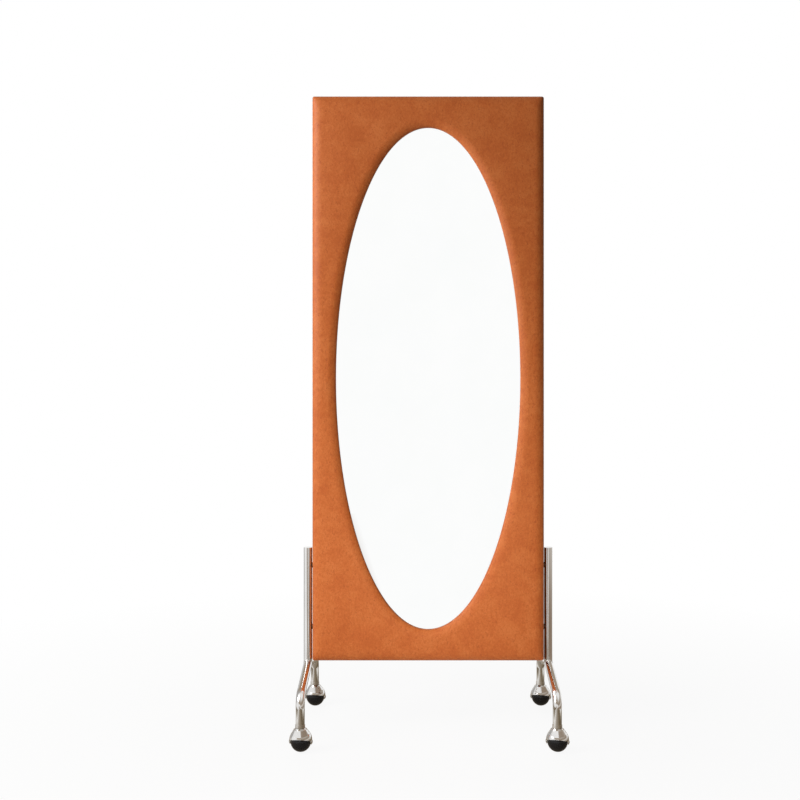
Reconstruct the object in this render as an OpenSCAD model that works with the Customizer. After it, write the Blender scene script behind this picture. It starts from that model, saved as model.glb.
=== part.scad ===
// Rolling floor mirror: an upholstered panel with an oval mirror, carried between two tube legs
// on four hooded ball casters. Millimetres, +Z up, front towards -Y. The origin is on the floor,
// in the panel's centre plane and midway between the legs.

/* [Panel] */
// Width of the upholstered panel
panel_w = 600; // [560:1:680]
// Height of the upholstered panel
panel_h = 1462; // [1420:1:1560]
// Thickness from the front of the cover to the back panel
panel_t = 50; // [46:1:60]
// Rounding of the padded front edges
panel_round = 12; // [10:0.5:14]
// Rounding of the panel's corners, seen from the front
corner_round = 5; // [4:0.5:12]
// Rounding of the back edges, where the cover turns over
back_round = 4; // [3:0.5:6]
// Thickness of the cover
cover_t = 1.2; // [0.8:0.1:1.6]
// Width of the cover's turned edge on the back
cover_turn = 26; // [25:1:34]
// Thickness of the foam under the cover
foam_t = 3; // [2.5:0.1:4]
// Thickness of the front board
board_t = 9; // [8.5:0.5:12]
// Cut on the board's front edges, which lets the foam round over them
board_cut = 6; // [4:0.5:8]
// Cut on the upright corners of the board and frame
core_cut = 5; // [4:0.5:8]
// Thickness of the back panel
back_t = 4; // [3:0.5:6]
// Distance from the panel's outline to the back panel's edge
back_margin = 8; // [6:0.5:9]

/* [Mirror] */
// Width of the oval opening
opening_w = 478; // [440:1:484]
// Height of the oval opening
opening_h = 1300; // [1240:1:1304]
// How far the glass runs behind the opening's edge
glass_lap = 11; // [10:0.5:12]
// Thickness of the glass
glass_t = 4; // [3:0.5:5]
// Thickness of the safety film on the back of the glass
film_t = 0.3; // [0.2:0.05:0.5]
// Distance from the edge of the glass to the film and the tape behind and before it
glass_edge = 1; // [0.5:0.1:2]
// Thickness of the mounting tape
tape_t = 0.8; // [0.5:0.1:1.5]
// Width of the mounting tape
tape_w = 7; // [4:0.5:8]
// Width of the cover's edge that is glued behind the board round the opening
flange_w = 9; // [6:0.5:9.5]
// Thickness of the pads between the mirror and the middle rails
pad_t = 3.7; // [3:0.1:5]
// Side of the square pads
pad_w = 30; // [20:1:36]
// Distance between neighbouring pads
pad_pitch = 150; // [100:1:180]

/* [Mirror clips] */
// Width of a clip
clip_w = 12; // [10:0.5:16]
// Thickness of a clip
clip_t = 1.2; // [1:0.1:1.6]
// Length of a clip's foot on the board
clip_foot = 14; // [13:0.5:16]
// How far a clip reaches over the glass
clip_lap = 9; // [6:0.5:10]
// Play between a clip and the edge of the glass
clip_play = 0.8; // [0.5:0.1:1.5]
// Distance from the end of a clip's foot to its screw
clip_screw_in = 5; // [4.5:0.1:6]

/* [Frame] */
// Width of the upright stiles
stile_w = 36; // [35:1:37]
// Height of the top and bottom rails
rail_h = 60; // [50:1:62]
// Height of the two middle rails
mid_rail_h = 40; // [38:1:60]
// Distance of the middle rails' centres from the panel's centre
mid_rail_z = 120; // [80:1:150]
// Diameter of the dowels
dowel_d = 8; // [6:1:10]
// Length of the dowels
dowel_l = 50; // [40:1:56]
// Distance between the two dowels of a corner joint
corner_dowel_pitch = 30; // [24:1:36]
// Distance between the two dowels of a middle rail's joint
mid_dowel_pitch = 20; // [16:1:24]

/* [Fasteners] */
// Shank diameter of the wood screws
screw_d = 3.5; // [3:0.1:4]
// Head diameter of the wood screws
screw_head_d = 7; // [6.5:0.1:8]
// Height of the wood screws' conical heads
screw_head_h = 2.2; // [1.8:0.1:2.6]
// Diameter across the top of a clip screw's head
clip_head_d = 4.5; // [4:0.1:6]
// Length of the screws through the front board
board_screw_l = 28; // [22:1:30]
// Length of the screws through the back panel
back_screw_l = 15; // [12:1:15]
// Length of the screws in the mirror clips
clip_screw_l = 8.5; // [7:0.5:9]
// Distance between neighbouring screws along the sides of the front board
board_screw_pitch = 300; // [290:1:320]
// Distance between neighbouring screws along the sides of the back panel
back_screw_pitch = 240; // [200:1:260]
// Distance between the two screws along the top or bottom edge
end_screw_pitch = 240; // [200:1:280]
// Distance between neighbouring staples
staple_pitch = 90; // [70:1:110]
// Least distance from a corner to the nearest screw or staple
corner_clear = 55; // [40:1:70]
// Distance from the cover's turned edge to the line of staples
staple_edge = 3.5; // [2.5:0.5:4]
// Length of a staple's crown
staple_w = 10; // [8:0.5:12]
// Length of a staple's legs
staple_leg = 8; // [6:0.5:10]
// Width of the staple wire
staple_wire = 1.2; // [1:0.1:1.4]
// Thickness of the staple wire
staple_t = 0.6; // [0.5:0.05:0.7]

/* [Legs] */
// Outer diameter of the leg tube
tube_d = 22; // [20:0.5:25]
// Wall of the leg tube
tube_wall = 1.5; // [1.2:0.1:2]
// Gap between the panel and the leg tube
leg_gap = 1.6; // [1:0.1:6]
// Distance from the panel's centre plane to the feet
foot_reach = 190; // [170:1:240]
// Height from the end of a foot to the corner where arm and foot would meet
foot_drop = 67; // [60:1:100]
// Height that each arm climbs from its foot to the middle
arm_rise = 34; // [20:1:50]
// Radius of the tube's bend above each foot, on its centre line
knee_r = 33; // [30:1:40]
// Radius of the tube's bend under the post, on its centre line
crown_r = 80; // [70:1:120]
// Height from the arms' meeting point to the panel's lower edge
panel_lift = 9; // [4:1:40]
// How far the posts run up beside the panel
post_lap = 292; // [250:1:400]
// Gap of the fitted joint between post and arch
weld_gap = 0.05; // [0.02:0.01:0.1]
// Thickness of a post cap's disc
cap_t = 1.6; // [1:0.1:3]
// Depth of a post cap's plug
cap_plug = 6; // [4:0.5:12]
// Length of the threaded insert in the end of each foot
insert_l = 22; // [18:1:28]
// Play between what is pressed into the tube and its inner wall
insert_play = 0.05; // [0.02:0.01:0.1]

/* [Leg bolts] */
// Diameter of the bolts
bolt_d = 6; // [5:0.5:8]
// Length of the bolts
bolt_l = 55; // [54:1:58]
// Diameter of a bolt's head
bolt_head_d = 10; // [9:0.5:13]
// Height of a bolt's head
bolt_head_h = 6; // [5:0.5:6.5]
// Outer diameter of the washers
washer_d = 18; // [16:0.5:20]
// Thickness of the washers
washer_t = 1.6; // [1:0.1:1.8]
// Diameter of the spacers between stile and post
spacer_d = 14; // [12.5:0.5:16]
// Diameter of the threaded nuts in the posts
nut_d = 10; // [9:0.5:11]
// Length of the threaded nuts
nut_l = 13; // [10:0.5:15]
// Height of the lower bolts above the panel's lower edge
bolt_low = 86; // [78:1:120]
// Distance of the upper bolts below the top of the posts
bolt_drop = 46; // [30:1:60]
// Play of a bolt in its holes, on the diameter
bolt_play = 0.4; // [0.2:0.1:0.8]
// Play of a spacer in the cover and foam, and of a nut in its tube, on the diameter
bush_play = 0.1; // [0.04:0.02:0.3]
// Gap between a spacer's saddle and the tube
saddle_gap = 0.02; // [0.01:0.01:0.1]

/* [Casters] */
// Diameter of the ball
ball_d = 50; // [46:0.5:60]
// Distance from the swivel axis to the ball's centre
trail = 8; // [6:0.5:10]
// Gap between ball and hood
hood_gap = 1.5; // [1.2:0.1:2.5]
// Wall of the hood
hood_wall = 1.25; // [1:0.05:2]
// Slope of the hood's rim, in degrees
rim_slope = 24; // [10:1:28]
// How far the middle of the rim lies below the ball's centre
rim_drop = 1; // [0:0.5:4]
// Radius of the lobes that carry the axle below the rim
lobe_r = 7; // [6:0.5:9]
// How far the dome's round top is raised over the ball
dome_lift = 4.5; // [3:0.5:6]
// Radius of the shoulder at the end of the dome's straight flank
shoulder_r = 16; // [15.5:0.1:17]
// Height of the shoulder over the hood's own radius
shoulder_lift = 3.75; // [3.25:0.25:6]
// Radius of the neck where it stands on the shoulder
neck_foot_r = 13.6; // [13:0.1:14]
// Radius of the neck at its top
neck_r = 12; // [11:0.1:12.5]
// Height of the neck above the shoulder
neck_h = 3.6; // [3:0.1:6]
// Diameter of the stem's pin and of its threaded stud
stem_d = 8; // [7:0.5:10]
// Radial play of the pin in the neck
stem_play = 0.05; // [0.02:0.01:0.1]
// Thickness of the floor under the pin
pin_floor = 1; // [0.8:0.1:1.5]
// Gap under the end of the pin
pin_gap = 0.2; // [0.1:0.1:0.4]
// Length of the threaded stud
stud_l = 18; // [14:1:18]
// Diameter of the stem's collar
collar_d = 24; // [22:0.5:25]
// Height of the stem's collar
collar_h = 7; // [6:0.5:12]
// Width of a groove round the collar
ring_w = 0.8; // [0.5:0.1:1]
// Depth of a groove round the collar
ring_deep = 0.6; // [0.3:0.1:1]
// Diameter of the thrust washer
thrust_d = 20; // [16:0.5:21]
// Thickness of the thrust washer
thrust_t = 0.8; // [0.5:0.1:1.2]
// Running gap under the thrust washer
thrust_gap = 0.1; // [0.05:0.05:0.3]
// Width of the groove for the retaining ring
clip_groove_w = 1.2; // [1:0.1:1.6]
// Depth of the retaining ring's groove in the pin
clip_groove_deep = 0.7; // [0.5:0.1:1]
// How far the retaining ring stands out of the pin
clip_stand = 0.45; // [0.3:0.05:0.7]
// Diameter of the axle
axle_d = 5; // [4:0.5:6]
// Radial play of the ball on its axle
axle_play = 0.05; // [0.02:0.01:0.1]
// Radial play of the axle in the hood
axle_fit = 0.02; // [0.01:0.01:0.05]
// Radius of the axle's riveted heads
rivet_r = 4; // [3.5:0.25:4.5]
// Height of the axle's riveted heads
rivet_h = 1.1; // [0.6:0.1:2]
// Radius of the flat bosses under the riveted heads
boss_r = 5; // [4.6:0.1:5.5]
// How far the bosses stand out of the hood
boss_stand = 0.15; // [0.1:0.05:0.3]
// Depth of the flats on the two sides of the ball
ball_flat = 0.5; // [0.3:0.1:1]
// Radius of the spacers between ball and hood
axle_spacer_r = 4.5; // [4:0.1:5]
// Play at each end of an axle spacer
axle_spacer_play = 0.1; // [0.05:0.05:0.2]
// Swivel of the front left caster at rest, in degrees
swivel_front_left = 5; // [0:1:360]
// Swivel of the front right caster at rest, in degrees
swivel_front_right = 12; // [0:1:360]
// Swivel of the rear left caster at rest, in degrees
swivel_rear_left = 5; // [0:1:360]
// Swivel of the rear right caster at rest, in degrees
swivel_rear_right = 12; // [0:1:360]

/* [Hidden] */
$fn = 96;

// Anything that must cut right through another solid overshoots it by this much
over = 2;
// Steps in a quarter turn of the padded edges, and points round the oval
edge_steps = 8;
oval_points = 120;

// Heights, built up from the floor
ball_r = ball_d / 2;
hood_r = ball_r + hood_gap + hood_wall;
shoulder_h = hood_r + shoulder_lift;
shoulder_z = ball_r + shoulder_h;
neck_top = shoulder_z + neck_h;
thrust_z = neck_top + thrust_gap;
collar_z = thrust_z + thrust_t;
foot_end = collar_z + collar_h;
knee_z = foot_end + foot_drop;
crown_z = knee_z + arm_rise;
panel_bottom = crown_z + panel_lift;
centre_z = panel_bottom + panel_h / 2;
post_top = panel_bottom + post_lap;

// Depths, from the front of the cover to the back
half_w = panel_w / 2;
half_h = panel_h / 2;
front_y = -panel_t / 2;
back_y = panel_t / 2;
foam_y = front_y + cover_t;
board_y = foam_y + foam_t;
frame_y = board_y + board_t;
frame_back = back_y - back_t - cover_t;
tape_y = frame_y + cover_t;
glass_y = tape_y + tape_t;
film_y = glass_y + glass_t;
film_back = film_y + film_t;
mid_rail_y = film_back + pad_t;

// The timber core inside the foam
core_x = half_w - cover_t - foam_t;
core_z = half_h - cover_t - foam_t;
stile_x = core_x - stile_w;
frame_mid_y = (frame_y + frame_back) / 2;
mid_rail_mid_y = (mid_rail_y + frame_back) / 2;
dowel_end = 1;
dowel_fit = 0.05;

// Screws and staples lie on lines at these distances from the panel's outline
back_screw_in = 16;
staple_in = cover_turn - staple_edge;
board_screw_in = 23;
clip_screw_x = clip_play + clip_foot - clip_screw_in;
free_h = half_h - corner_clear;
free_w = half_w - corner_clear;
screw_cross = 0.9;
screw_cross_deep = 1.2;

// The oval, seen from the front
opening_x = opening_w / 2;
opening_z = opening_h / 2;
clip_turns = [18, 52];

// The legs
leg_x = half_w + leg_gap + tube_d / 2;
tube_r = tube_d / 2;
tube_in_r = tube_r - tube_wall;
arm_slope = atan(arm_rise / foot_reach);
crown_centre_z = crown_z - crown_r / cos(arm_slope);
crown_run = crown_r * tan(arm_slope);
knee_turn = 90 - arm_slope;
knee_run = knee_r * tan(knee_turn / 2);
arm_l = foot_reach / cos(arm_slope) - crown_run - knee_run;
bend_swell = 0.05;
bend_grip = 0.5;
post_z = crown_centre_z + crown_r;
bolt_heights = [panel_bottom + bolt_low, post_top - bolt_drop];

// The casters
hood_in_r = ball_r + hood_gap;
neck_tilt = atan(trail / shoulder_h);
stem_r = stem_d / 2;
bore_z = ball_r + sqrt(pow(hood_in_r, 2) - pow(trail, 2)) + pin_floor;
pin_z = bore_z + pin_gap;
clip_z = (bore_z + neck_top) / 2 - clip_groove_w / 2;
clip_play_z = 0.1;
clip_r = stem_r + clip_stand;
clip_split = 2;
ball_face = ball_r - ball_flat;
hood_face = sqrt(pow(hood_in_r, 2) - pow(axle_spacer_r, 2));
flank_bite = 0.5;
boss_face = hood_r + boss_stand;
corner_x = [-leg_x, leg_x, -leg_x, leg_x];
corner_y = [-foot_reach, -foot_reach, foot_reach, foot_reach];
corner_turn = [swivel_front_left, swivel_front_right, swivel_rear_left, swivel_rear_right];

// ---------- helpers ----------

// n points evenly spaced about zero
function spread(n, pitch) = [for (i = [0 : n - 1]) (i - (n - 1) / 2) * pitch];

// How many points fit within a reach on either side of the middle, with one in the middle or without
function odd_count(reach, pitch) = 2 * floor(reach / pitch) + 1;
function even_count(reach, pitch) = 2 * floor(reach / pitch + 1 / 2);

// Points of an arc about [x, y]
function arc(x, y, r, from, to, steps) = [
  for (i = [0 : steps]) let (turn = from + (to - from) * i / steps) [x + r * cos(turn), y + r * sin(turn)]
];

// Outline of a slab seen along its edge: half its width, its two faces and the rounding at each
function edge_outline(half, low, high, low_r, high_r, steps) = concat(
  arc(half - high_r, high - high_r, high_r, 0, 90, steps),
  arc(high_r - half, high - high_r, high_r, 90, 180, steps),
  arc(low_r - half, low + low_r, low_r, 180, 270, steps),
  arc(half - low_r, low + low_r, low_r, 270, 360, steps)
);

// Puts a drawing made in X and Z, about the panel's centre, between two depths
module plate(from_y, to_y) {
  translate([0, to_y, centre_z]) rotate([90, 0, 0]) linear_extrude(to_y - from_y) children();
}

module oval(extra) {
  polygon([
    for (i = [0 : oval_points - 1]) let (turn = i * 360 / oval_points)
      [(opening_x + extra) * cos(turn), (opening_z + extra) * sin(turn)]
  ]);
}

module oval_ring(inner, outer) {
  difference() {
    oval(outer);
    oval(inner);
  }
}

// A slab whose faces, sides and corners are rounded, or cut at 45 degrees with one step
module soft_slab(half_x, half_z, low, high, low_r, high_r, corner_r, steps) {
  intersection() {
    plate(low - over, high + over) polygon(edge_outline(half_x, -half_z, half_z, corner_r, corner_r, steps));
    translate([0, 0, centre_z - half_z - over])
      linear_extrude(2 * (half_z + over)) polygon(edge_outline(half_x, low, high, low_r, high_r, steps));
    translate([half_x + over, 0, centre_z]) rotate([0, -90, 0])
      linear_extrude(2 * (half_x + over)) polygon(edge_outline(half_z, low, high, low_r, high_r, steps));
  }
}

// The padded panel's outer form, drawn in by a number of millimetres
module padded_form(inset) {
  soft_slab(half_w - inset, half_h - inset, front_y + inset, frame_back + cover_t - inset,
    panel_round - inset, back_round - inset, corner_round - inset, edge_steps);
}

module board_form() {
  soft_slab(core_x, core_z, board_y, frame_y + board_cut + over, board_cut, board_cut, core_cut, 1);
}

module core_form(from_y, to_y) {
  plate(from_y, to_y) polygon(edge_outline(core_x, -core_z, core_z, core_cut, core_cut, 1));
}

// Local +Z runs into the panel from the front, or from the back
module from_front(x, y, z) {
  translate([x, y, z]) rotate([-90, 0, 0]) children();
}

module from_back(x, y, z) {
  translate([x, y, z]) rotate([90, 0, 0]) children();
}

module wood_screw(length) {
  difference() {
    union() {
      cylinder(h = screw_head_h, d1 = screw_head_d, d2 = screw_d);
      translate([0, 0, screw_head_h]) cylinder(h = length - screw_head_h, d = screw_d);
    }
    cross_slot(0);
  }
}

// The crossed slot in a screw's head, whose top lies at a height
module cross_slot(top) {
  for (turn = [0, 90]) rotate([0, 0, turn]) translate([-screw_d / 2, -screw_cross / 2, top - over])
    cube([screw_d, screw_cross, screw_cross_deep + over]);
}

// The hole that a wood screw fills
module screw_hole(length) {
  translate([0, 0, -over]) cylinder(h = over, d = screw_head_d);
  cylinder(h = screw_head_h, d1 = screw_head_d, d2 = screw_d);
  translate([0, 0, screw_head_h]) cylinder(h = length - screw_head_h, d = screw_d);
}

module at_board_screws() {
  for (z = spread(odd_count(free_h, board_screw_pitch), board_screw_pitch)) for (side = [-1, 1])
    from_front(side * (half_w - board_screw_in), board_y, centre_z + z) children();
  for (x = spread(2, end_screw_pitch)) for (end = [-1, 1])
    from_front(x, board_y, centre_z + end * (core_z - rail_h / 2)) children();
}

module at_back_screws() {
  for (z = spread(even_count(free_h, back_screw_pitch), back_screw_pitch)) for (side = [-1, 1])
    from_back(side * (half_w - back_screw_in), back_y, centre_z + z) children();
  for (x = spread(2, end_screw_pitch)) for (end = [-1, 1])
    from_back(x, back_y, centre_z + end * (half_h - back_screw_in)) children();
}

// A staple: its crown lies along X with its outer face at y = 0, and its legs point to -Y
module staple() {
  translate([-staple_w / 2, -staple_t, -staple_wire / 2]) cube([staple_w, staple_t, staple_wire]);
  for (x = [-staple_w / 2, staple_w / 2 - staple_t])
    translate([x, -staple_leg, -staple_wire / 2]) cube([staple_t, staple_leg, staple_wire]);
}

module all_staples() {
  for (z = spread(odd_count(free_h, staple_pitch), staple_pitch)) for (side = [-1, 1])
    translate([side * (half_w - staple_in), frame_back + cover_t, centre_z + z]) rotate([0, 90, 0]) staple();
  for (x = spread(odd_count(free_w, staple_pitch), staple_pitch)) for (end = [-1, 1])
    translate([x, frame_back + cover_t, centre_z + end * (half_h - staple_in)]) staple();
}

// Dowels: children are placed with their middle at each joint, along X
module at_dowels() {
  for (side = [-1, 1]) {
    for (end = [-1, 1]) for (z = spread(2, corner_dowel_pitch))
      translate([side * stile_x, frame_mid_y, centre_z + end * (core_z - rail_h / 2) + z])
        rotate([0, 90, 0]) children();
    for (rail = [-1, 1]) for (z = spread(2, mid_dowel_pitch))
      translate([side * stile_x, mid_rail_mid_y, centre_z + rail * mid_rail_z + z])
        rotate([0, 90, 0]) children();
  }
}

module dowel_holes() {
  at_dowels() cylinder(h = dowel_l + 2 * dowel_end, d = dowel_d + 2 * dowel_fit, center = true);
}

// Children are placed on the edge of the glass: local +X points away from it
module at_clips() {
  a = opening_x + glass_lap;
  b = opening_z + glass_lap;
  for (turn = clip_turns) for (phi = [turn, 180 - turn, 180 + turn, -turn])
    translate([a * cos(phi), 0, centre_z + b * sin(phi)])
      rotate([0, -atan2(sin(phi) / b, cos(phi) / a), 0]) children();
}

module at_bolts() {
  for (side = [0, 1]) mirror([side, 0, 0]) for (z = bolt_heights)
    translate([0, 0, z]) rotate([0, 90, 0]) children();
}

// ---------- panel ----------

module leather_cover() {
  color("#c26a38") {
    difference() {
      padded_form(0);
      padded_form(cover_t);
      plate(frame_back - over, back_y)
        square([2 * (half_w - cover_turn), 2 * (half_h - cover_turn)], center = true);
      plate(front_y - over, frame_y) oval(0);
      at_bolts() translate([0, 0, core_x]) cylinder(h = leg_gap + core_x, d = spacer_d + bush_play);
      all_staples();
      at_back_screws() screw_hole(back_screw_l);
    }
    plate(foam_y, tape_y) oval_ring(0, cover_t);
    plate(frame_y, tape_y) oval_ring(0, flange_w);
  }
}

module foam_pad() {
  color("#d9cfa6") difference() {
    padded_form(cover_t);
    board_form();
    core_form(frame_y - over, frame_back + over);
    plate(front_y - over, frame_y) oval(cover_t);
    at_bolts() translate([0, 0, core_x - over]) cylinder(h = leg_gap + core_x, d = spacer_d + bush_play);
    all_staples();
  }
}

module front_board() {
  color("#c9a06a") difference() {
    intersection() {
      board_form();
      plate(board_y - over, frame_y) square([panel_w, panel_h], center = true);
    }
    plate(board_y - over, frame_y + over) oval(cover_t);
    at_board_screws() screw_hole(board_screw_l);
    at_clips() from_back(clip_screw_x, frame_y + clip_t, 0) cylinder(h = clip_screw_l, d = screw_d);
  }
}

module board_screws() {
  color("#b8b8b0") at_board_screws() wood_screw(board_screw_l);
}

module stile(side) {
  color("#d8b47c") difference() {
    intersection() {
      core_form(frame_y, frame_back);
      translate([side * (stile_x + stile_w / 2 + over / 2), 0, centre_z])
        cube([stile_w + over, 2 * panel_t, panel_h], center = true);
    }
    dowel_holes();
    at_board_screws() screw_hole(board_screw_l);
    at_back_screws() screw_hole(back_screw_l);
    all_staples();
    at_bolts() translate([0, 0, stile_x - over]) cylinder(h = stile_w + 2 * over, d = bolt_d + bolt_play);
  }
}

module end_rail(end) {
  color("#d8b47c") difference() {
    translate([-stile_x, frame_y, centre_z + end * (core_z - rail_h / 2) - rail_h / 2])
      cube([2 * stile_x, frame_back - frame_y, rail_h]);
    dowel_holes();
    at_board_screws() screw_hole(board_screw_l);
    at_back_screws() screw_hole(back_screw_l);
    all_staples();
  }
}

module mid_rail(rail) {
  color("#d8b47c") difference() {
    translate([-stile_x, mid_rail_y, centre_z + rail * mid_rail_z - mid_rail_h / 2])
      cube([2 * stile_x, frame_back - mid_rail_y, mid_rail_h]);
    dowel_holes();
  }
}

module frame_dowels() {
  color("#e0c394") at_dowels() cylinder(h = dowel_l, d = dowel_d, center = true);
}

// ---------- mirror ----------

module mirror_tape() {
  color("#303030") plate(tape_y, glass_y) oval_ring(glass_lap - glass_edge - tape_w, glass_lap - glass_edge);
}

module mirror_glass() {
  color("#dfe6e8") plate(glass_y, film_y) oval(glass_lap);
}

module mirror_film() {
  color("#5d6670") plate(film_y, film_back) oval(glass_lap - glass_edge);
}

module mirror_clips() {
  rise = film_back + clip_t;
  color("#c8c8c4") at_clips() difference() {
    translate([0, 0, -clip_w / 2]) linear_extrude(clip_w) polygon([
      [-clip_lap, film_back], [clip_play, film_back], [clip_play, frame_y],
      [clip_play + clip_foot, frame_y], [clip_play + clip_foot, frame_y + clip_t],
      [clip_play + clip_t, frame_y + clip_t], [clip_play + clip_t, rise], [-clip_lap, rise]
    ]);
    from_back(clip_screw_x, rise, 0) cylinder(h = rise - frame_y + over, d = screw_d);
  }
}

module clip_screws() {
  color("#b8b8b0") at_clips() from_back(clip_screw_x, frame_y + clip_t, 0) {
    cylinder(h = clip_screw_l, d = screw_d);
    difference() {
      translate([0, 0, -screw_head_h]) cylinder(h = screw_head_h, d1 = clip_head_d, d2 = screw_head_d);
      cross_slot(-screw_head_h);
    }
  }
}

module mirror_pads() {
  color("#4a4a4a") for (rail = [-1, 1]) for (x = spread(3, pad_pitch))
    translate([x - pad_w / 2, film_back, centre_z + rail * mid_rail_z - pad_w / 2])
      cube([pad_w, pad_t, pad_w]);
}

// ---------- back ----------

module cover_staples() {
  color("#b0b0b0") all_staples();
}

module back_panel() {
  half_x = half_w - back_margin;
  half_z = half_h - back_margin;
  color("#2b2622") difference() {
    plate(back_y - back_t, back_y)
      polygon(edge_outline(half_x, -half_z, half_z, back_margin, back_margin, edge_steps));
    at_back_screws() screw_hole(back_screw_l);
  }
}

module back_screws() {
  color("#3a3a3a") at_back_screws() wood_screw(back_screw_l);
}

// ---------- legs ----------

// Local X and Y become the object's Y and Z, in the plane of a leg
module leg_plane(side) {
  translate([side * leg_x, 0, 0]) rotate([90, 0, 90]) children();
}

// One arm, its bend and its foot, as a rod of radius r that runs past the foot's end by some millimetres.
// The straight stretches run a little way into the bends, which are a hair fatter.
module arch_half(r, past) {
  straight_r = r - bend_swell;
  translate([crown_run * cos(arm_slope), crown_z - crown_run * sin(arm_slope), 0])
    rotate([0, 90, -arm_slope]) translate([0, 0, -bend_grip])
      cylinder(h = arm_l + 2 * bend_grip, r = straight_r);
  translate([foot_reach - knee_r, knee_z - knee_run, 0])
    rotate_extrude(angle = knee_turn) translate([knee_r, 0]) circle(r = r);
  translate([foot_reach, foot_end - past, 0])
    rotate([-90, 0, 0]) cylinder(h = knee_z - knee_run + bend_grip - foot_end + past, r = straight_r);
}

module arch_rod(r, past) {
  translate([0, crown_centre_z, 0]) rotate([0, 0, 90 - arm_slope])
    rotate_extrude(angle = 2 * arm_slope) translate([crown_r, 0]) circle(r = r);
  arch_half(r, past);
  mirror([1, 0, 0]) arch_half(r, past);
}

module arch_tube(side) {
  color("#d7d8da") leg_plane(side) difference() {
    arch_rod(tube_r, 0);
    arch_rod(tube_in_r, over);
  }
}

module post(side) {
  color("#d7d8da") difference() {
    translate([side * leg_x, 0, post_z]) cylinder(h = post_top - cap_t - post_z, r = tube_r);
    translate([side * leg_x, 0, post_z - over]) cylinder(h = post_top - post_z + over, r = tube_in_r);
    leg_plane(side) translate([0, crown_centre_z, 0]) rotate([0, 0, 90 - 2 * arm_slope])
      rotate_extrude(angle = 4 * arm_slope) translate([crown_r, 0]) circle(r = tube_r + weld_gap);
    for (z = bolt_heights) translate([side * leg_x, 0, z]) rotate([0, -90 * side, 0])
      cylinder(h = tube_d, d = nut_d + bush_play);
  }
}

module post_caps() {
  color("#d7d8da") for (side = [-1, 1]) translate([side * leg_x, 0, post_top - cap_t]) {
    cylinder(h = cap_t, r = tube_r);
    translate([0, 0, -cap_plug]) cylinder(h = cap_plug, r = tube_in_r - insert_play);
  }
}

module foot_inserts() {
  color("#9a9a98") for (i = [0 : 3]) translate([corner_x[i], corner_y[i], foot_end]) difference() {
    cylinder(h = insert_l, r = tube_in_r - insert_play);
    translate([0, 0, -over]) cylinder(h = insert_l + 2 * over, r = stem_r + stem_play);
  }
}

// The space taken up by a post's tube
module post_space(side, extra) {
  translate([side * leg_x, 0, 0]) cylinder(h = post_top, r = tube_r + extra);
}

module leg_spacers() {
  color("#d7d8da") difference() {
    at_bolts() translate([0, 0, core_x]) difference() {
      cylinder(h = leg_x - core_x, d = spacer_d);
      translate([0, 0, -over]) cylinder(h = leg_x - core_x + 2 * over, d = bolt_d + bolt_play);
    }
    for (side = [-1, 1]) post_space(side, saddle_gap);
  }
}

module leg_nuts() {
  color("#9a9a98") intersection() {
    at_bolts() translate([0, 0, leg_x - tube_r]) difference() {
      cylinder(h = nut_l, d = nut_d);
      translate([0, 0, -over]) cylinder(h = nut_l + 2 * over, d = bolt_d + bush_play);
    }
    union() for (side = [-1, 1]) post_space(side, 0);
  }
}

module leg_washers() {
  color("#b8b8b0") at_bolts() translate([0, 0, stile_x - washer_t]) difference() {
    cylinder(h = washer_t, d = washer_d);
    translate([0, 0, -over]) cylinder(h = washer_t + 2 * over, d = bolt_d + bolt_play);
  }
}

module leg_bolts() {
  socket_deep = bolt_head_h / 2;
  color("#8f8f8f") at_bolts() translate([0, 0, stile_x - washer_t]) {
    cylinder(h = bolt_l, d = bolt_d);
    translate([0, 0, -bolt_head_h]) difference() {
      cylinder(h = bolt_head_h, d = bolt_head_d);
      translate([0, 0, -over]) cylinder(h = socket_deep + over, d = bolt_d, $fn = 6);
    }
  }
}

// ---------- casters ----------

// Children are built about the swivel axis, with the ball behind it on local +Y
module at_corner(i) {
  translate([corner_x[i], corner_y[i], 0]) rotate([0, 0, -corner_turn[i]]) children();
}

module at_ball() {
  translate([0, trail, ball_r]) children();
}

module stem(i) {
  groove_r = stem_r - clip_groove_deep;
  collar_r = collar_d / 2;
  ring_step = collar_h / 3;
  color("#d7d8da") at_corner(i) difference() {
    rotate_extrude() polygon([
      [0, pin_z], [stem_r, pin_z], [stem_r, clip_z], [groove_r, clip_z],
      [groove_r, clip_z + clip_groove_w], [stem_r, clip_z + clip_groove_w],
      [stem_r, collar_z], [collar_r, collar_z], [collar_r, foot_end],
      [stem_r, foot_end], [stem_r, foot_end + stud_l], [0, foot_end + stud_l]
    ]);
    for (k = [1, 2]) translate([0, 0, collar_z + k * ring_step - ring_w / 2]) difference() {
      cylinder(h = ring_w, r = collar_r + over);
      translate([0, 0, -over]) cylinder(h = ring_w + 2 * over, r = collar_r - ring_deep);
    }
  }
}

module thrust_washers() {
  color("#e8e6df") for (i = [0 : 3]) at_corner(i) translate([0, 0, thrust_z]) difference() {
    cylinder(h = thrust_t, d = thrust_d);
    translate([0, 0, -over]) cylinder(h = thrust_t + 2 * over, r = stem_r + stem_play);
  }
}

module retaining_rings() {
  color("#8f8f8f") for (i = [0 : 3]) at_corner(i) translate([0, 0, clip_z + clip_play_z]) difference() {
    cylinder(h = clip_groove_w - 2 * clip_play_z, r = clip_r);
    translate([0, 0, -over])
      cylinder(h = clip_groove_w + 2 * over, r = stem_r - clip_groove_deep + clip_play_z);
    translate([0, -clip_split / 2, -over]) cube([2 * clip_r, clip_split, clip_groove_w + 2 * over]);
  }
}

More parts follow.
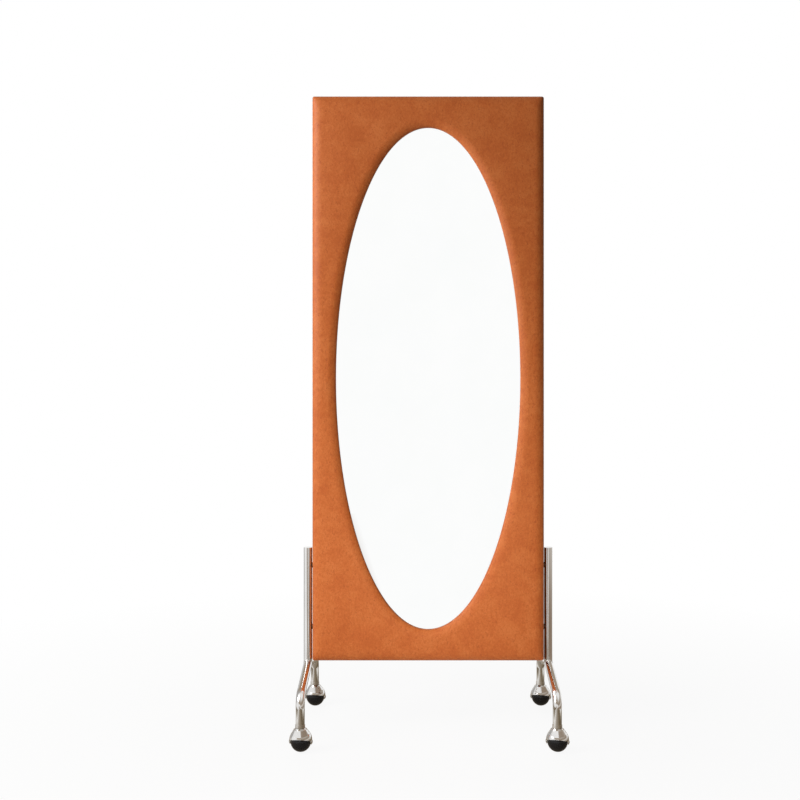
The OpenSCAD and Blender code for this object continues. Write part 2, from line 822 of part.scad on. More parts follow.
// Half the outline of the hood, about the line from the ball to the neck: round below, a dome raised
// over the ball, and a flank that runs from the dome to the shoulder
module hood_outline() {
  rise = shoulder_h / cos(neck_tilt) - dome_lift;
  flank_r = hood_r - flank_bite;
  touch = atan2(rise, shoulder_r) - acos(flank_r / sqrt(pow(shoulder_r, 2) + pow(rise, 2)));
  touch_x = flank_r * cos(touch);
  touch_h = flank_r * sin(touch);
  tip_h = rise + shoulder_r * (rise - touch_h) / (touch_x - shoulder_r);
  intersection() {
    union() {
      circle(r = hood_r);
      square([hood_r, dome_lift]);
      translate([0, dome_lift]) circle(r = hood_r);
      translate([0, dome_lift]) polygon([[0, 0], [touch_x, touch_h], [0, tip_h]]);
    }
    translate([0, -hood_r]) square([2 * hood_r, 2 * hood_r + tip_h]);
  }
}

module hood(i) {
  color("#d7d8da") at_corner(i) difference() {
    union() {
      difference() {
        at_ball() rotate([neck_tilt, 0, 0]) rotate_extrude() hood_outline();
        translate([0, 0, shoulder_z]) cylinder(h = 2 * hood_r, r = 2 * hood_r);
      }
      rotate_extrude() polygon([
        [0, bore_z], [neck_foot_r, bore_z], [neck_foot_r, shoulder_z], [neck_r, neck_top], [0, neck_top]
      ]);
      at_ball() rotate([0, 90, 0]) cylinder(h = 2 * boss_face, r = boss_r, center = true);
    }
    at_ball() rotate([0, 90, 0]) sphere(r = hood_in_r);
    difference() {
      at_ball() translate([0, 0, -rim_drop]) rotate([-rim_slope, 0, 0])
        translate([-2 * hood_r, -2 * hood_r, -2 * hood_r]) cube([4 * hood_r, 4 * hood_r, 2 * hood_r]);
      at_ball() rotate([0, 90, 0]) cylinder(h = 4 * hood_r, r = lobe_r, center = true);
    }
    translate([0, 0, bore_z]) cylinder(h = hood_r, r = stem_r + stem_play);
    translate([0, 0, clip_z - clip_play_z])
      cylinder(h = clip_groove_w + 2 * clip_play_z, r = clip_r + 2 * clip_play_z);
    at_ball() rotate([0, 90, 0]) cylinder(h = 4 * hood_r, d = axle_d + 2 * axle_fit, center = true);
  }
}

module axle(i) {
  color("#b8b8b0") at_corner(i) at_ball() rotate([0, 90, 0]) {
    cylinder(h = 2 * boss_face, d = axle_d, center = true);
    for (end = [0, 180]) rotate([end, 0, 0]) translate([0, 0, boss_face])
      cylinder(h = rivet_h, r1 = rivet_r, r2 = rivet_r - rivet_h);
  }
}

module axle_spacers(i) {
  from = ball_face + axle_spacer_play;
  color("#e8e6df") at_corner(i) at_ball() rotate([0, 90, 0]) for (end = [0, 180]) rotate([end, 0, 0])
    translate([0, 0, from]) difference() {
      cylinder(h = hood_face - axle_spacer_play - from, r = axle_spacer_r);
      translate([0, 0, -over]) cylinder(h = hood_gap + hood_wall + 2 * over, d = axle_d + 2 * axle_play);
    }
}

module ball(i) {
  bore_r = axle_d / 2 + axle_play;
  color("#1b1a1a") at_corner(i) at_ball() rotate([0, 90, 0]) rotate_extrude() intersection() {
    circle(r = ball_r);
    translate([bore_r, -ball_face]) square([ball_r, 2 * ball_face]);
  }
}

leather_cover();
foam_pad();
front_board();
board_screws();
stile(-1);  // left_stile
stile(1);  // right_stile
end_rail(1);  // top_rail
end_rail(-1);  // bottom_rail
mid_rail(1);  // upper_mid_rail
mid_rail(-1);  // lower_mid_rail
frame_dowels();
mirror_tape();
mirror_glass();
mirror_film();
mirror_clips();
clip_screws();
mirror_pads();
cover_staples();
back_panel();
back_screws();
arch_tube(-1);  // left_arch_tube
arch_tube(1);  // right_arch_tube
post(-1);  // left_post
post(1);  // right_post
post_caps();
foot_inserts();
leg_spacers();
leg_nuts();
leg_washers();
leg_bolts();
thrust_washers();
retaining_rings();
stem(0);  // front_left_stem
stem(1);  // front_right_stem
stem(2);  // rear_left_stem
stem(3);  // rear_right_stem
hood(0);  // front_left_hood
hood(1);  // front_right_hood
hood(2);  // rear_left_hood
hood(3);  // rear_right_hood
axle(0);  // front_left_axle
axle(1);  // front_right_axle
axle(2);  // rear_left_axle
axle(3);  // rear_right_axle
axle_spacers(0);  // front_left_axle_spacers
axle_spacers(1);  // front_right_axle_spacers
axle_spacers(2);  // rear_left_axle_spacers
axle_spacers(3);  // rear_right_axle_spacers
ball(0);  // front_left_ball
ball(1);  // front_right_ball
ball(2);  // rear_left_ball
ball(3);  // rear_right_ball
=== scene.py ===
"""Rolling floor mirror: a padded panel with an oval mirror, on chrome tube legs and ball casters.

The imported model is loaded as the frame. The classes below dress its pieces, replace the soft ones
with modelled pieces, and set up the studio. Lengths are in metres, with +Z up and the front
towards -Y.
"""

import logging
import math
from dataclasses import dataclass, field
from enum import Enum

import bpy
import numpy as np
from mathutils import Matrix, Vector, noise


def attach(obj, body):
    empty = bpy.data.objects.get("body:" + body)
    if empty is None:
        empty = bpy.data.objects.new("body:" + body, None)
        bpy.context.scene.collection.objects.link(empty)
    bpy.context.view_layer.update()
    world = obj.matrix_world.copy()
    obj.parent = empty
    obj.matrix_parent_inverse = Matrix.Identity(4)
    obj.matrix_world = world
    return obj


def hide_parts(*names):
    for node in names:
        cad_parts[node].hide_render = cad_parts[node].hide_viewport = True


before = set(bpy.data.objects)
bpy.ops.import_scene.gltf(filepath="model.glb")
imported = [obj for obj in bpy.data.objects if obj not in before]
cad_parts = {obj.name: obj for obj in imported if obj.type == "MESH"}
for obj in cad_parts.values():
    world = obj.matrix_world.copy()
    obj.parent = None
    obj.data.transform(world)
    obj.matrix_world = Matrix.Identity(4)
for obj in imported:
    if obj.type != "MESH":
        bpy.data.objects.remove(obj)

LOG = logging.getLogger("floor_mirror")
Colour = tuple[float, float, float]
Place = tuple[float, float, float]
Span = tuple[float, float, float, float]
Node = bpy.types.Node
Socket = bpy.types.NodeSocket


class Corner(Enum):
    """The four casters, by where they stand."""

    FRONT_LEFT = "front_left"
    FRONT_RIGHT = "front_right"
    REAR_LEFT = "rear_left"
    REAR_RIGHT = "rear_right"


class Grain(Enum):
    """The way that a timber's grain runs, as the stretch of its pattern along X, Y and Z."""

    UPRIGHT = (1.0, 1.0, 0.05)
    ACROSS = (0.05, 1.0, 1.0)


# ---------- finishes ----------


def solid(colour: Socket | Colour) -> Socket | tuple[float, ...]:
    """Returns a colour with full alpha, or a socket as it is."""
    return colour if isinstance(colour, bpy.types.NodeSocket) else (*colour, 1.0)


class NodeGraph:
    """Short calls that add and join the nodes of one node tree.

    The MIX numbers pick a Mix node's sockets for colours, whose names occur more than once.
    """

    MIX_SHARE, MIX_FIRST, MIX_SECOND, MIX_RESULT = 0, 6, 7, 2

    def __init__(self, tree: bpy.types.NodeTree, place: str) -> None:
        """Starts from an existing node tree.

        Args:
            tree: The tree that gets the nodes.
            place: The output of the coordinates that its patterns follow.
        """
        self.tree = tree
        self.place = self.add("ShaderNodeTexCoord").outputs[place]

    def add(self, kind: str, **values: object) -> Node:
        """Adds a node.

        Args:
            kind: The node's type.
            **values: Attributes to set on it.

        Returns:
            The node.
        """
        node = self.tree.nodes.new(kind)
        for name, value in values.items():
            setattr(node, name, value)
        return node

    def fill(self, node: Node, items: dict[int | str, object]) -> None:
        """Links or sets a node's inputs.

        Args:
            node: The node that receives them.
            items: Input numbers or names, with a socket to link or a value to set.
        """
        for key, value in items.items():
            if isinstance(value, bpy.types.NodeSocket):
                self.tree.links.new(value, node.inputs[key])
            else:
                node.inputs[key].default_value = value

    def feed(self, node: Node, **sockets: object) -> None:
        """Fills inputs by their names, in which an underscore stands for a space."""
        self.fill(node, {name.replace("_", " "): value for name, value in sockets.items()})

    def stretch(self, x: float, y: float, z: float) -> Socket:
        """Multiplies the coordinates along each axis.

        Args:
            x: Factor along X.
            y: Factor along Y.
            z: Factor along Z.

        Returns:
            The new coordinates.
        """
        node = self.add("ShaderNodeMapping")
        self.feed(node, Vector=self.place, Scale=(x, y, z))
        return node.outputs["Vector"]

    def noise(
        self,
        scale: float,
        detail: float = 3.0,
        rough: float = 0.5,
        place: Socket | None = None,
        twist: float = 0.0,
    ) -> Socket:
        """Adds a noise pattern.

        Args:
            scale: Features per metre.
            detail: Octaves of finer noise.
            rough: Share of each finer octave.
            place: Coordinates to use instead of the object's own.
            twist: Distortion of the pattern.

        Returns:
            The pattern's value, from 0 to 1.
        """
        node = self.add("ShaderNodeTexNoise")
        self.feed(node, Vector=place or self.place, Scale=scale, Detail=detail)
        self.feed(node, Roughness=rough, Distortion=twist)
        return node.outputs["Fac"]

    def cells(self, scale: float) -> Socket:
        """Adds a cell pattern.

        Args:
            scale: Cells per metre.

        Returns:
            The distance from the nearest cell's centre.
        """
        node = self.add("ShaderNodeTexVoronoi")
        self.feed(node, Vector=self.place, Scale=scale)
        return node.outputs["Distance"]

    def level(
        self, value: Socket, low: float, high: float, to_low: float = 0.0, to_high: float = 1.0
    ) -> Socket:
        """Maps a value's range onto another range, and clamps it.

        Args:
            value: The value.
            low: Where its range starts.
            high: Where its range ends.
            to_low: What low becomes.
            to_high: What high becomes.

        Returns:
            The mapped value.
        """
        node = self.add("ShaderNodeMapRange")
        self.fill(node, dict(enumerate((value, low, high, to_low, to_high))))
        return node.outputs["Result"]

    def maths(self, operation: str, first: Socket | float, second: Socket | float = 0.0) -> Socket:
        """Adds a Math node.

        Args:
            operation: Its operation.
            first: The first value.
            second: The second value.

        Returns:
            The result.
        """
        node = self.add("ShaderNodeMath", operation=operation)
        self.fill(node, {0: first, 1: second})
        return node.outputs["Value"]

    def ramp(self, value: Socket, stops: list[tuple[float, Colour]]) -> Socket:
        """Adds a colour ramp.

        Args:
            value: What picks the colour.
            stops: Positions from 0 to 1 with their colours.

        Returns:
            The colour.
        """
        node = self.add("ShaderNodeValToRGB")
        points = node.color_ramp.elements
        while len(points) < len(stops):
            points.new(0.5)
        for point, (position, colour) in zip(points, stops):
            point.position = position
            point.color = solid(colour)
        self.tree.links.new(value, node.inputs["Fac"])
        return node.outputs["Color"]

    def blend(
        self,
        share: Socket | float,
        first: Socket | Colour,
        second: Socket | Colour,
        mode: str = "MIX",
    ) -> Socket:
        """Mixes two colours.

        Args:
            share: How much of the second colour.
            first: The first colour.
            second: The second colour.
            mode: The Mix node's blend type.

        Returns:
            The mixed colour.
        """
        node = self.add("ShaderNodeMix", data_type="RGBA", blend_type=mode)
        self.fill(node, {self.MIX_SHARE: share})
        self.fill(node, {self.MIX_FIRST: solid(first), self.MIX_SECOND: solid(second)})
        return node.outputs[self.MIX_RESULT]

    def bump(
        self, height: Socket, depth: float, strength: float = 1.0, under: Socket | None = None
    ) -> Socket:
        """Adds relief.

        Args:
            height: The relief's height, from 0 to 1.
            depth: Its full height in metres.
            strength: How much of it counts.
            under: A normal that it lies on.

        Returns:
            The bumped normal.
        """
        node = self.add("ShaderNodeBump")
        self.feed(node, Height=height, Distance=depth, Strength=strength)
        if under is not None:
            self.tree.links.new(under, node.inputs["Normal"])
        return node.outputs["Normal"]

    def parts(self, vector: Socket) -> tuple[Socket, Socket, Socket]:
        """Splits a vector.

        Args:
            vector: The vector.

        Returns:
            Its X, Y and Z.
        """
        node = self.add("ShaderNodeSeparateXYZ")
        self.feed(node, Vector=vector)
        return node.outputs["X"], node.outputs["Y"], node.outputs["Z"]


class ShaderGraph(NodeGraph):
    """A new material with one Principled shader."""

    def __init__(self, name: str) -> None:
        """Makes the material.

        Args:
            name: The material's name.
        """
        self.material = bpy.data.materials.new(name)
        self.material.use_nodes = True
        super().__init__(self.material.node_tree, "Object")
        self.shader = self.tree.nodes["Principled BSDF"]

    def finish(
        self,
        colour: Socket | Colour,
        rough: Socket | float,
        normal: Socket | None = None,
        metal: float = 0.0,
    ) -> bpy.types.Material:
        """Sets the shader's main inputs.

        Args:
            colour: Base colour.
            rough: Roughness.
            normal: Bumped normal.
            metal: 1 for bare metal, otherwise 0.

        Returns:
            The finished material.
        """
        self.feed(self.shader, Base_Color=solid(colour), Roughness=rough, Metallic=metal)
        if normal is not None:
            self.feed(self.shader, Normal=normal)
        return self.material


@dataclass(frozen=True)
class Suede:
    """Brushed, cloudy leatherette that covers the panel."""

    deep: Colour = (0.545, 0.122, 0.022)
    middle: Colour = (0.600, 0.147, 0.029)
    pale: Colour = (0.655, 0.180, 0.042)
    fleck: Colour = (0.43, 0.084, 0.015)
    cloud_scale: float = 22.0
    blotch_scale: float = 200.0
    rub_scale: float = 230.0
    speck_scale: float = 1300.0
    pebble_scale: float = 820.0
    nap: float = 0.00010
    relief: float = 0.0007
    sheen: float = 0.6
    sheen_rough: float = 0.32
    sheen_tint: Colour = (1.0, 0.90, 0.80)
    specular: float = 0.34

    def make(self) -> bpy.types.Material:
        """Makes the material.

        Returns:
            The finished material.
        """
        g = ShaderGraph("suede_leatherette")
        clouds = g.noise(self.cloud_scale, 4.0, 0.6, twist=0.4)
        blotches = g.noise(self.blotch_scale, 4.0, 0.66, g.stretch(1.0, 1.0, 0.75), 0.6)
        fine = g.noise(self.speck_scale, 2.0, 0.6)
        cloudy, blotchy = g.maths("MULTIPLY", clouds, 0.45), g.maths("MULTIPLY", blotches, 0.55)
        mottle = g.maths("ADD", cloudy, blotchy)
        tone = g.ramp(mottle, [(0.41, self.deep), (0.5, self.middle), (0.61, self.pale)])
        rubs = g.noise(self.rub_scale, 3.0, 0.7, g.stretch(1.0, 1.0, 0.6), 1.0)
        tone = g.blend(g.level(rubs, 0.55, 0.66, 0.0, 0.70), tone, self.fleck)
        speck = g.level(fine, 0.3, 0.7, 0.90, 1.10)
        grey = g.add("ShaderNodeCombineColor")
        g.feed(grey, Red=speck, Green=speck, Blue=speck)
        colour = g.blend(1.0, tone, grey.outputs["Color"], "MULTIPLY")
        pebble = g.bump(g.cells(self.pebble_scale), self.nap, 0.45)
        relief = g.bump(mottle, self.relief, 0.3, pebble)
        rough = g.level(blotches, 0.3, 0.7, 0.46, 0.60)
        material = g.finish(colour, rough, relief)
        g.feed(g.shader, Sheen_Weight=self.sheen, Sheen_Roughness=self.sheen_rough)
        g.feed(g.shader, Sheen_Tint=solid(self.sheen_tint), Specular_IOR_Level=self.specular)
        return material


@dataclass(frozen=True)
class Chrome:
    """Bright chrome plate on steel, with faint polishing marks and handling haze."""

    colour: Colour = (0.81, 0.80, 0.785)
    dull: Colour = (0.74, 0.73, 0.715)
    shine: float = 0.09
    haze: float = 0.17
    haze_scale: float = 26.0
    polish_scale: float = 900.0
    polish_deep: float = 0.00002

    def make(self) -> bpy.types.Material:
        """Makes the material.

        Returns:
            The finished material.
        """
        g = ShaderGraph("bright_chrome")
        haze = g.noise(self.haze_scale, 5.0, 0.6)
        polish = g.noise(self.polish_scale, 2.0, 0.5, g.stretch(1.0, 1.0, 0.04))
        rough = g.level(haze, 0.35, 0.8, self.shine, self.haze)
        tint = g.ramp(haze, [(0.3, self.colour), (0.75, self.dull)])
        return g.finish(tint, rough, g.bump(polish, self.polish_deep, 0.25), 1.0)


@dataclass(frozen=True)
class SilveredGlass:
    """Float glass, silvered behind: a clear coat over a mirror, with a faint film of dust."""

    colour: Colour = (0.975, 0.98, 0.977)
    dusty: Colour = (0.955, 0.965, 0.96)
    dust_scale: float = 7.0
    dust_rough: float = 0.014
    glass_ior: float = 1.52

    def make(self) -> bpy.types.Material:
        """Makes the material.

        Returns:
            The finished material.
        """
        g = ShaderGraph("silvered_glass")
        cloud = g.noise(self.dust_scale, 3.0, 0.6)
        tint = g.ramp(cloud, [(0.3, self.colour), (0.8, self.dusty)])
        material = g.finish(tint, g.level(cloud, 0.35, 0.9, 0.0, self.dust_rough), None, 1.0)
        g.feed(g.shader, Coat_Weight=1.0, Coat_Roughness=0.0, Coat_IOR=self.glass_ior)
        return material


@dataclass(frozen=True)
class SafetyFilm:
    """Woven-backed grey film that holds the glass together if it breaks."""

    colour: Colour = (0.15, 0.165, 0.18)
    thread: Colour = (0.22, 0.24, 0.26)
    pitch: float = 0.0012

    def make(self) -> bpy.types.Material:
        """Makes the material.

        Returns:
            The finished material.
        """
        g = ShaderGraph("safety_film")
        weave = g.cells(1.0 / self.pitch)
        tone = g.noise(30.0, 3.0)
        woven = g.maths("MULTIPLY", weave, g.maths("ADD", tone, 0.5))
        colour = g.ramp(woven, [(0.15, self.thread), (0.5, self.colour)])
        return g.finish(colour, g.level(tone, 0.3, 0.7, 0.42, 0.55), g.bump(weave, 0.0001, 0.5))


@dataclass(frozen=True)
class GlossPlastic:
    """Hard, glossy moulded plastic with light scuffs."""

    name: str = "black_gloss_plastic"
    colour: Colour = (0.011, 0.0105, 0.011)
    worn: Colour = (0.030, 0.029, 0.029)
    scuff_scale: float = 160.0
    smear_scale: float = 38.0
    gloss: float = 0.10
    scuffed: float = 0.34
    specular: float = 0.26

    def make(self) -> bpy.types.Material:
        """Makes the material.

        Returns:
            The finished material.
        """
        g = ShaderGraph(self.name)
        scuff = g.noise(self.scuff_scale, 6.0, 0.7, twist=1.0)
        smear = g.noise(self.smear_scale, 3.0)
        colour = g.ramp(scuff, [(0.55, self.colour), (0.78, self.worn)])
        wear = g.maths("MAXIMUM", g.level(scuff, 0.6, 0.8), g.level(smear, 0.45, 0.9, 0.0, 0.7))
        rough = g.level(wear, 0.0, 1.0, self.gloss, self.scuffed)
        material = g.finish(colour, rough, g.bump(scuff, 0.00003, 0.5))
        g.feed(g.shader, Specular_IOR_Level=self.specular)
        return material


@dataclass(frozen=True)
class Timber:
    """Planed softwood or hardwood."""

    name: str
    grain: Grain
    dark: Colour
    pale: Colour
    ring_scale: float = 75.0
    pore_scale: float = 1100.0

    def make(self) -> bpy.types.Material:
        """Makes the material.

        Returns:
            The finished material.
        """
        g = ShaderGraph(self.name)
        run = g.stretch(*self.grain.value)
        rings = g.noise(self.ring_scale, 5.0, 0.55, run, 1.2)
        pores = g.noise(self.pore_scale, 2.0, 0.6, run)
        figure = g.maths("ADD", g.maths("MULTIPLY", rings, 0.8), g.maths("MULTIPLY", pores, 0.2))
        colour = g.ramp(figure, [(0.36, self.dark), (0.5, self.pale), (0.62, self.dark)])
        relief = g.bump(pores, 0.0001, 0.5, g.bump(rings, 0.0003, 0.4))
        return g.finish(colour, g.level(rings, 0.3, 0.7, 0.55, 0.75), relief)


@dataclass(frozen=True)
class Plywood:
    """Plywood: veneer faces, and plies that show on its edges."""

    ply: float = 0.0015
    veneer: Colour = (0.60, 0.43, 0.27)
    veneer_dark: Colour = (0.42, 0.27, 0.15)
    glue_line: Colour = (0.30, 0.18, 0.10)
    waves_per_ply: float = 3.2

    def make(self) -> bpy.types.Material:
        """Makes the material.

        Returns:
            The finished material.
        """
        g = ShaderGraph("poplar_plywood")
        face = g.noise(60.0, 4.0, 0.6, g.stretch(1.0, 1.0, 0.08), 0.8)
        band = g.add(
            "ShaderNodeTexWave", wave_type="BANDS", bands_direction="Y", wave_profile="TRI"
        )
        g.feed(band, Vector=g.place, Scale=1.0 / (self.ply * self.waves_per_ply), Distortion=0.4)
        veneer = g.ramp(face, [(0.35, self.veneer_dark), (0.65, self.veneer)])
        plies = g.ramp(band.outputs["Fac"], [(0.3, self.glue_line), (0.6, self.veneer)])
        colour = g.blend(0.35, veneer, plies)
        return g.finish(colour, g.level(face, 0.3, 0.7, 0.6, 0.8), g.bump(face, 0.0002, 0.5))


@dataclass(frozen=True)
class Hardboard:
    """Dark tempered hardboard, with flattened fibres in its smooth face."""

    base: Colour = (0.052, 0.036, 0.027)
    pale: Colour = (0.068, 0.047, 0.034)
    fibre: Colour = (0.105, 0.072, 0.050)
    fibre_scale: float = 520.0
    cloud_scale: float = 9.0

    def make(self) -> bpy.types.Material:
        """Makes the material.

        Returns:
            The finished material.
        """
        g = ShaderGraph("tempered_hardboard")
        fibres = g.noise(self.fibre_scale, 4.0, 0.65, g.stretch(1.0, 1.0, 0.45), 2.2)
        clouds = g.noise(self.cloud_scale, 4.0, 0.6)
        strands = g.level(fibres, 0.52, 0.68)
        wash = g.ramp(clouds, [(0.3, self.base), (0.7, self.pale)])
        colour = g.blend(g.maths("MULTIPLY", strands, 0.75), wash, self.fibre)
        rough = g.level(clouds, 0.3, 0.75, 0.42, 0.6)
        return g.finish(colour, rough, g.bump(fibres, 0.00008, 0.6))


@dataclass(frozen=True)
class PlatedSteel:
    """Zinc-plated, bare or blackened steel of fasteners and clips."""

    name: str
    colour: Colour
    spot: Colour
    rough: float = 0.32
    spangle_scale: float = 420.0
    haze_scale: float = 240.0

    def make(self) -> bpy.types.Material:
        """Makes the material.

        Returns:
            The finished material.
        """
        g = ShaderGraph(self.name)
        spangle = g.cells(self.spangle_scale)
        haze = g.noise(self.haze_scale, 4.0, 0.6)
        colour = g.ramp(g.maths("MULTIPLY", spangle, haze), [(0.1, self.colour), (0.5, self.spot)])
        rough = g.level(haze, 0.3, 0.75, self.rough - 0.08, self.rough + 0.14)
        return g.finish(colour, rough, g.bump(haze, 0.00004, 0.5), 1.0)


@dataclass(frozen=True)
class MouldedNylon:
    """Nylon of washers and spacers."""

    name: str = "moulded_nylon"
    colour: Colour = (0.74, 0.72, 0.66)
    cloud: Colour = (0.64, 0.61, 0.54)
    flow_scale: float = 120.0
    translucency: float = 0.15
    scatter: tuple[float, float, float] = (0.002, 0.002, 0.0016)

    def make(self) -> bpy.types.Material:
        """Makes the material.

        Returns:
            The finished material.
        """
        g = ShaderGraph(self.name)
        flow = g.noise(self.flow_scale, 4.0, 0.6, twist=0.8)
        colour = g.ramp(flow, [(0.3, self.colour), (0.75, self.cloud)])
        material = g.finish(colour, g.level(flow, 0.3, 0.7, 0.38, 0.52), g.bump(flow, 0.00006, 0.5))
        g.feed(g.shader, Subsurface_Weight=self.translucency, Subsurface_Radius=self.scatter)
        return material


@dataclass(frozen=True)
class OpenFoam:
    """Open-cell foam, felt or foam tape: a soft body with small pores."""

    name: str
    colour: Colour
    shade: Colour
    pore: float

    def make(self) -> bpy.types.Material:
        """Makes the material.

        Returns:
            The finished material.
        """
        g = ShaderGraph(self.name)
        pores = g.cells(1.0 / self.pore)
        tone = g.noise(0.35 / self.pore, 4.0, 0.6)
        cellular = g.maths("MULTIPLY", pores, g.maths("ADD", tone, 0.5))
        colour = g.ramp(cellular, [(0.1, self.shade), (0.55, self.colour)])
        relief = g.bump(pores, self.pore * 0.5, 0.7)
        return g.finish(colour, g.level(tone, 0.3, 0.7, 0.86, 0.96), relief)


def dress(material: bpy.types.Material, *names: str) -> None:
    """Gives CAD nodes a material.

    Args:
        material: The finish.
        *names: The nodes that wear it.
    """
    for name in names:
        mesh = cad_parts[name].data
        mesh.materials.clear()
        mesh.materials.append(material)


def new_piece(
    name: str, points: np.ndarray, faces: list[tuple[int, ...]], material: bpy.types.Material
) -> bpy.types.Object:
    """Makes a smooth-shaded mesh object.

    Args:
        name: The piece's name.
        points: Its vertices.
        faces: Its faces, as vertex numbers.
        material: Its finish.

    Returns:
        The object, linked to the scene.
    """
    mesh = bpy.data.meshes.new(name)
    mesh.from_pydata([tuple(p) for p in points], [], faces)
    mesh.validate()
    mesh.materials.append(material)
    for polygon in mesh.polygons:
        polygon.use_smooth = True
    piece = bpy.data.objects.new(name, mesh)
    bpy.context.scene.collection.objects.link(piece)
    return piece


# ---------- the padded cover ----------


def quarter_turn(steps: int, start: int = 0) -> list[float]:
    """Returns the angles that divide a quarter turn into equal steps, from a first one on."""
    return [math.radians(90 * step / steps) for step in range(start, steps + 1)]


@dataclass
class PaddedCover:
    """The leatherette cover, wrapped over foam and round the oval opening.

    Its outer surface is laid out as rings that run round the panel, each with the same number of
    points. The rings start at the edge that is turned over at the back, go over the panel's side
    and front, and end in the opening at the flange that is glued behind the lip.

    The board leaves out board_skips rings of the roll at the panel's edge. The unevenness goes
    wavy_beyond rings past the flat face, first at the panel's edge and then at the lip. Each wave
    is a height and how many of it there are to a metre.
    """

    half_width: float = 0.300
    half_height: float = 0.731
    centre_z: float = 0.909
    front: float = -0.025
    back: float = 0.021
    corner: float = 0.005
    corner_soften: float = 0.7
    back_soften: float = 0.25
    edge_round: float = 0.028
    edge_deep: float = 0.015
    back_round: float = 0.004
    thickness: float = 0.0012
    foam: float = 0.003
    foam_ease: float = 0.0006
    turned_insets: tuple[float, ...] = (0.026, 0.019, 0.013, 0.009, 0.0065)
    opening_x: float = 0.239
    opening_z: float = 0.650
    lip_round: float = 0.024
    lip_deep: float = 0.0130
    lip_edge: float = 0.0045
    board_back: float = -0.0118
    wall_depths: tuple[float, ...] = (-0.0119, -0.0116, -0.0114, -0.0112)
    flange_reaches: tuple[float, ...] = (0.0006, 0.003, 0.006, 0.009)
    flange_y: float = -0.0106
    pleat_height: float = 0.0005
    pleat_reach: float = 0.02
    pleat_turn: float = math.pi / 4
    shoulder_drop: float = 0.0006
    shoulder_width: float = 0.035
    swell_limit: float = 0.0022
    swell_moments: int = 20
    swell_pressure: float = 2.2
    cloth_quality: int = 6
    cloth_mass: float = 0.35
    cloth_tension: float = 60
    cloth_shear: float = 40
    cloth_bending: float = 12
    held_rings: int = 3
    spacing: float = 0.008
    arc_steps: int = 12
    back_steps: int = 4
    side_steps: int = 6
    edge_steps: int = 13
    face_rings: int = 22
    lip_steps: int = 11
    ring_crowding: float = 0.08
    board_skips: int = 3
    oval_halvings: int = 50
    waves: tuple[tuple[float, float], ...] = ((0.00035, 14), (0.00012, 45))
    wavy_beyond: tuple[int, int] = (4, 3)
    spacer_heights: tuple[float, float] = (0.264, 0.424)
    spacer_dent: float = 0.0009
    spacer_reach: float = 0.010
    finish: Suede = field(default_factory=Suede)
    padding: OpenFoam = OpenFoam("cream_foam", (0.72, 0.63, 0.40), (0.50, 0.42, 0.24), 0.0009)

    def outline(self, inset: float, soften: float | None = None) -> np.ndarray:
        """Points round the panel, seen from the front, drawn in by an inset.

        Args:
            inset: Distance from the panel's outline.
            soften: How fast the corners' radius grows with the inset.

        Returns:
            Rows of x and z about the panel's centre, always in the same order.
        """
        soften = self.corner_soften if soften is None else soften
        half_x, half_z = self.half_width - inset, self.half_height - inset
        radius = self.corner + soften * inset
        long_steps = round(2 * self.half_height / self.spacing)
        short_steps = round(2 * self.half_width / self.spacing)
        points = []
        for sign_x, sign_z, start, steps in ((1, 1, 0, short_steps), (-1, 1, 90, long_steps),
                                             (-1, -1, 180, short_steps), (1, -1, 270, long_steps)):
            centre = np.array([sign_x * (half_x - radius), sign_z * (half_z - radius)])
            for k in range(self.arc_steps + 1):
                turn = math.radians(start + 90 * k / self.arc_steps)
                points.append(centre + radius * np.array([math.cos(turn), math.sin(turn)]))
            last = points[-1]
            along = {0: (-1, 0), 90: (0, -1), 180: (1, 0), 270: (0, 1)}[start]
            length = 2 * ((half_x if along[0] else half_z) - radius)
            points += [last + np.array(along) * length * k / steps for k in range(1, steps)]
        return np.array(points)

    def nearest_on_oval(self, points: np.ndarray) -> tuple[np.ndarray, np.ndarray]:
        """Finds the nearest points on the opening's edge.

        Args:
            points: Rows of x and z outside the oval.

        Returns:
            The nearest points, and the oval's outward directions there.
        """
        a, b = self.opening_x, self.opening_z
        px, pz = np.abs(points[:, 0]), np.abs(points[:, 1])
        low, high = np.zeros(len(points)), np.full(len(points), math.pi / 2)
        for _ in range(self.oval_halvings):
            mid = (low + high) / 2
            sine, cosine = np.sin(mid), np.cos(mid)
            slope = a * px * sine - b * pz * cosine + (b * b - a * a) * sine * cosine
            low, high = np.where(slope < 0, mid, low), np.where(slope < 0, high, mid)
        signs = np.where(points < 0, -1.0, 1.0)
        near = signs * np.stack([a * np.cos(mid), b * np.sin(mid)], 1)
        out = near / np.array([a * a, b * b])
        return near, out / np.linalg.norm(out, axis=1)[:, None]

    def rings(self) -> tuple[np.ndarray, tuple[int, int]]:
        """Lays out the cover's outer surface as rings, from the turned edge to the glued flange.

        Returns:
            Points by ring and spoke, and the first and last ring of the front face.
        """
        made: list[tuple[np.ndarray, np.ndarray]] = []

        def add(flat: np.ndarray, depth: np.ndarray | float) -> None:
            """Adds a ring from its x and z and its depth."""
            made.append((flat, np.broadcast_to(np.asarray(depth, float), (len(flat),))))

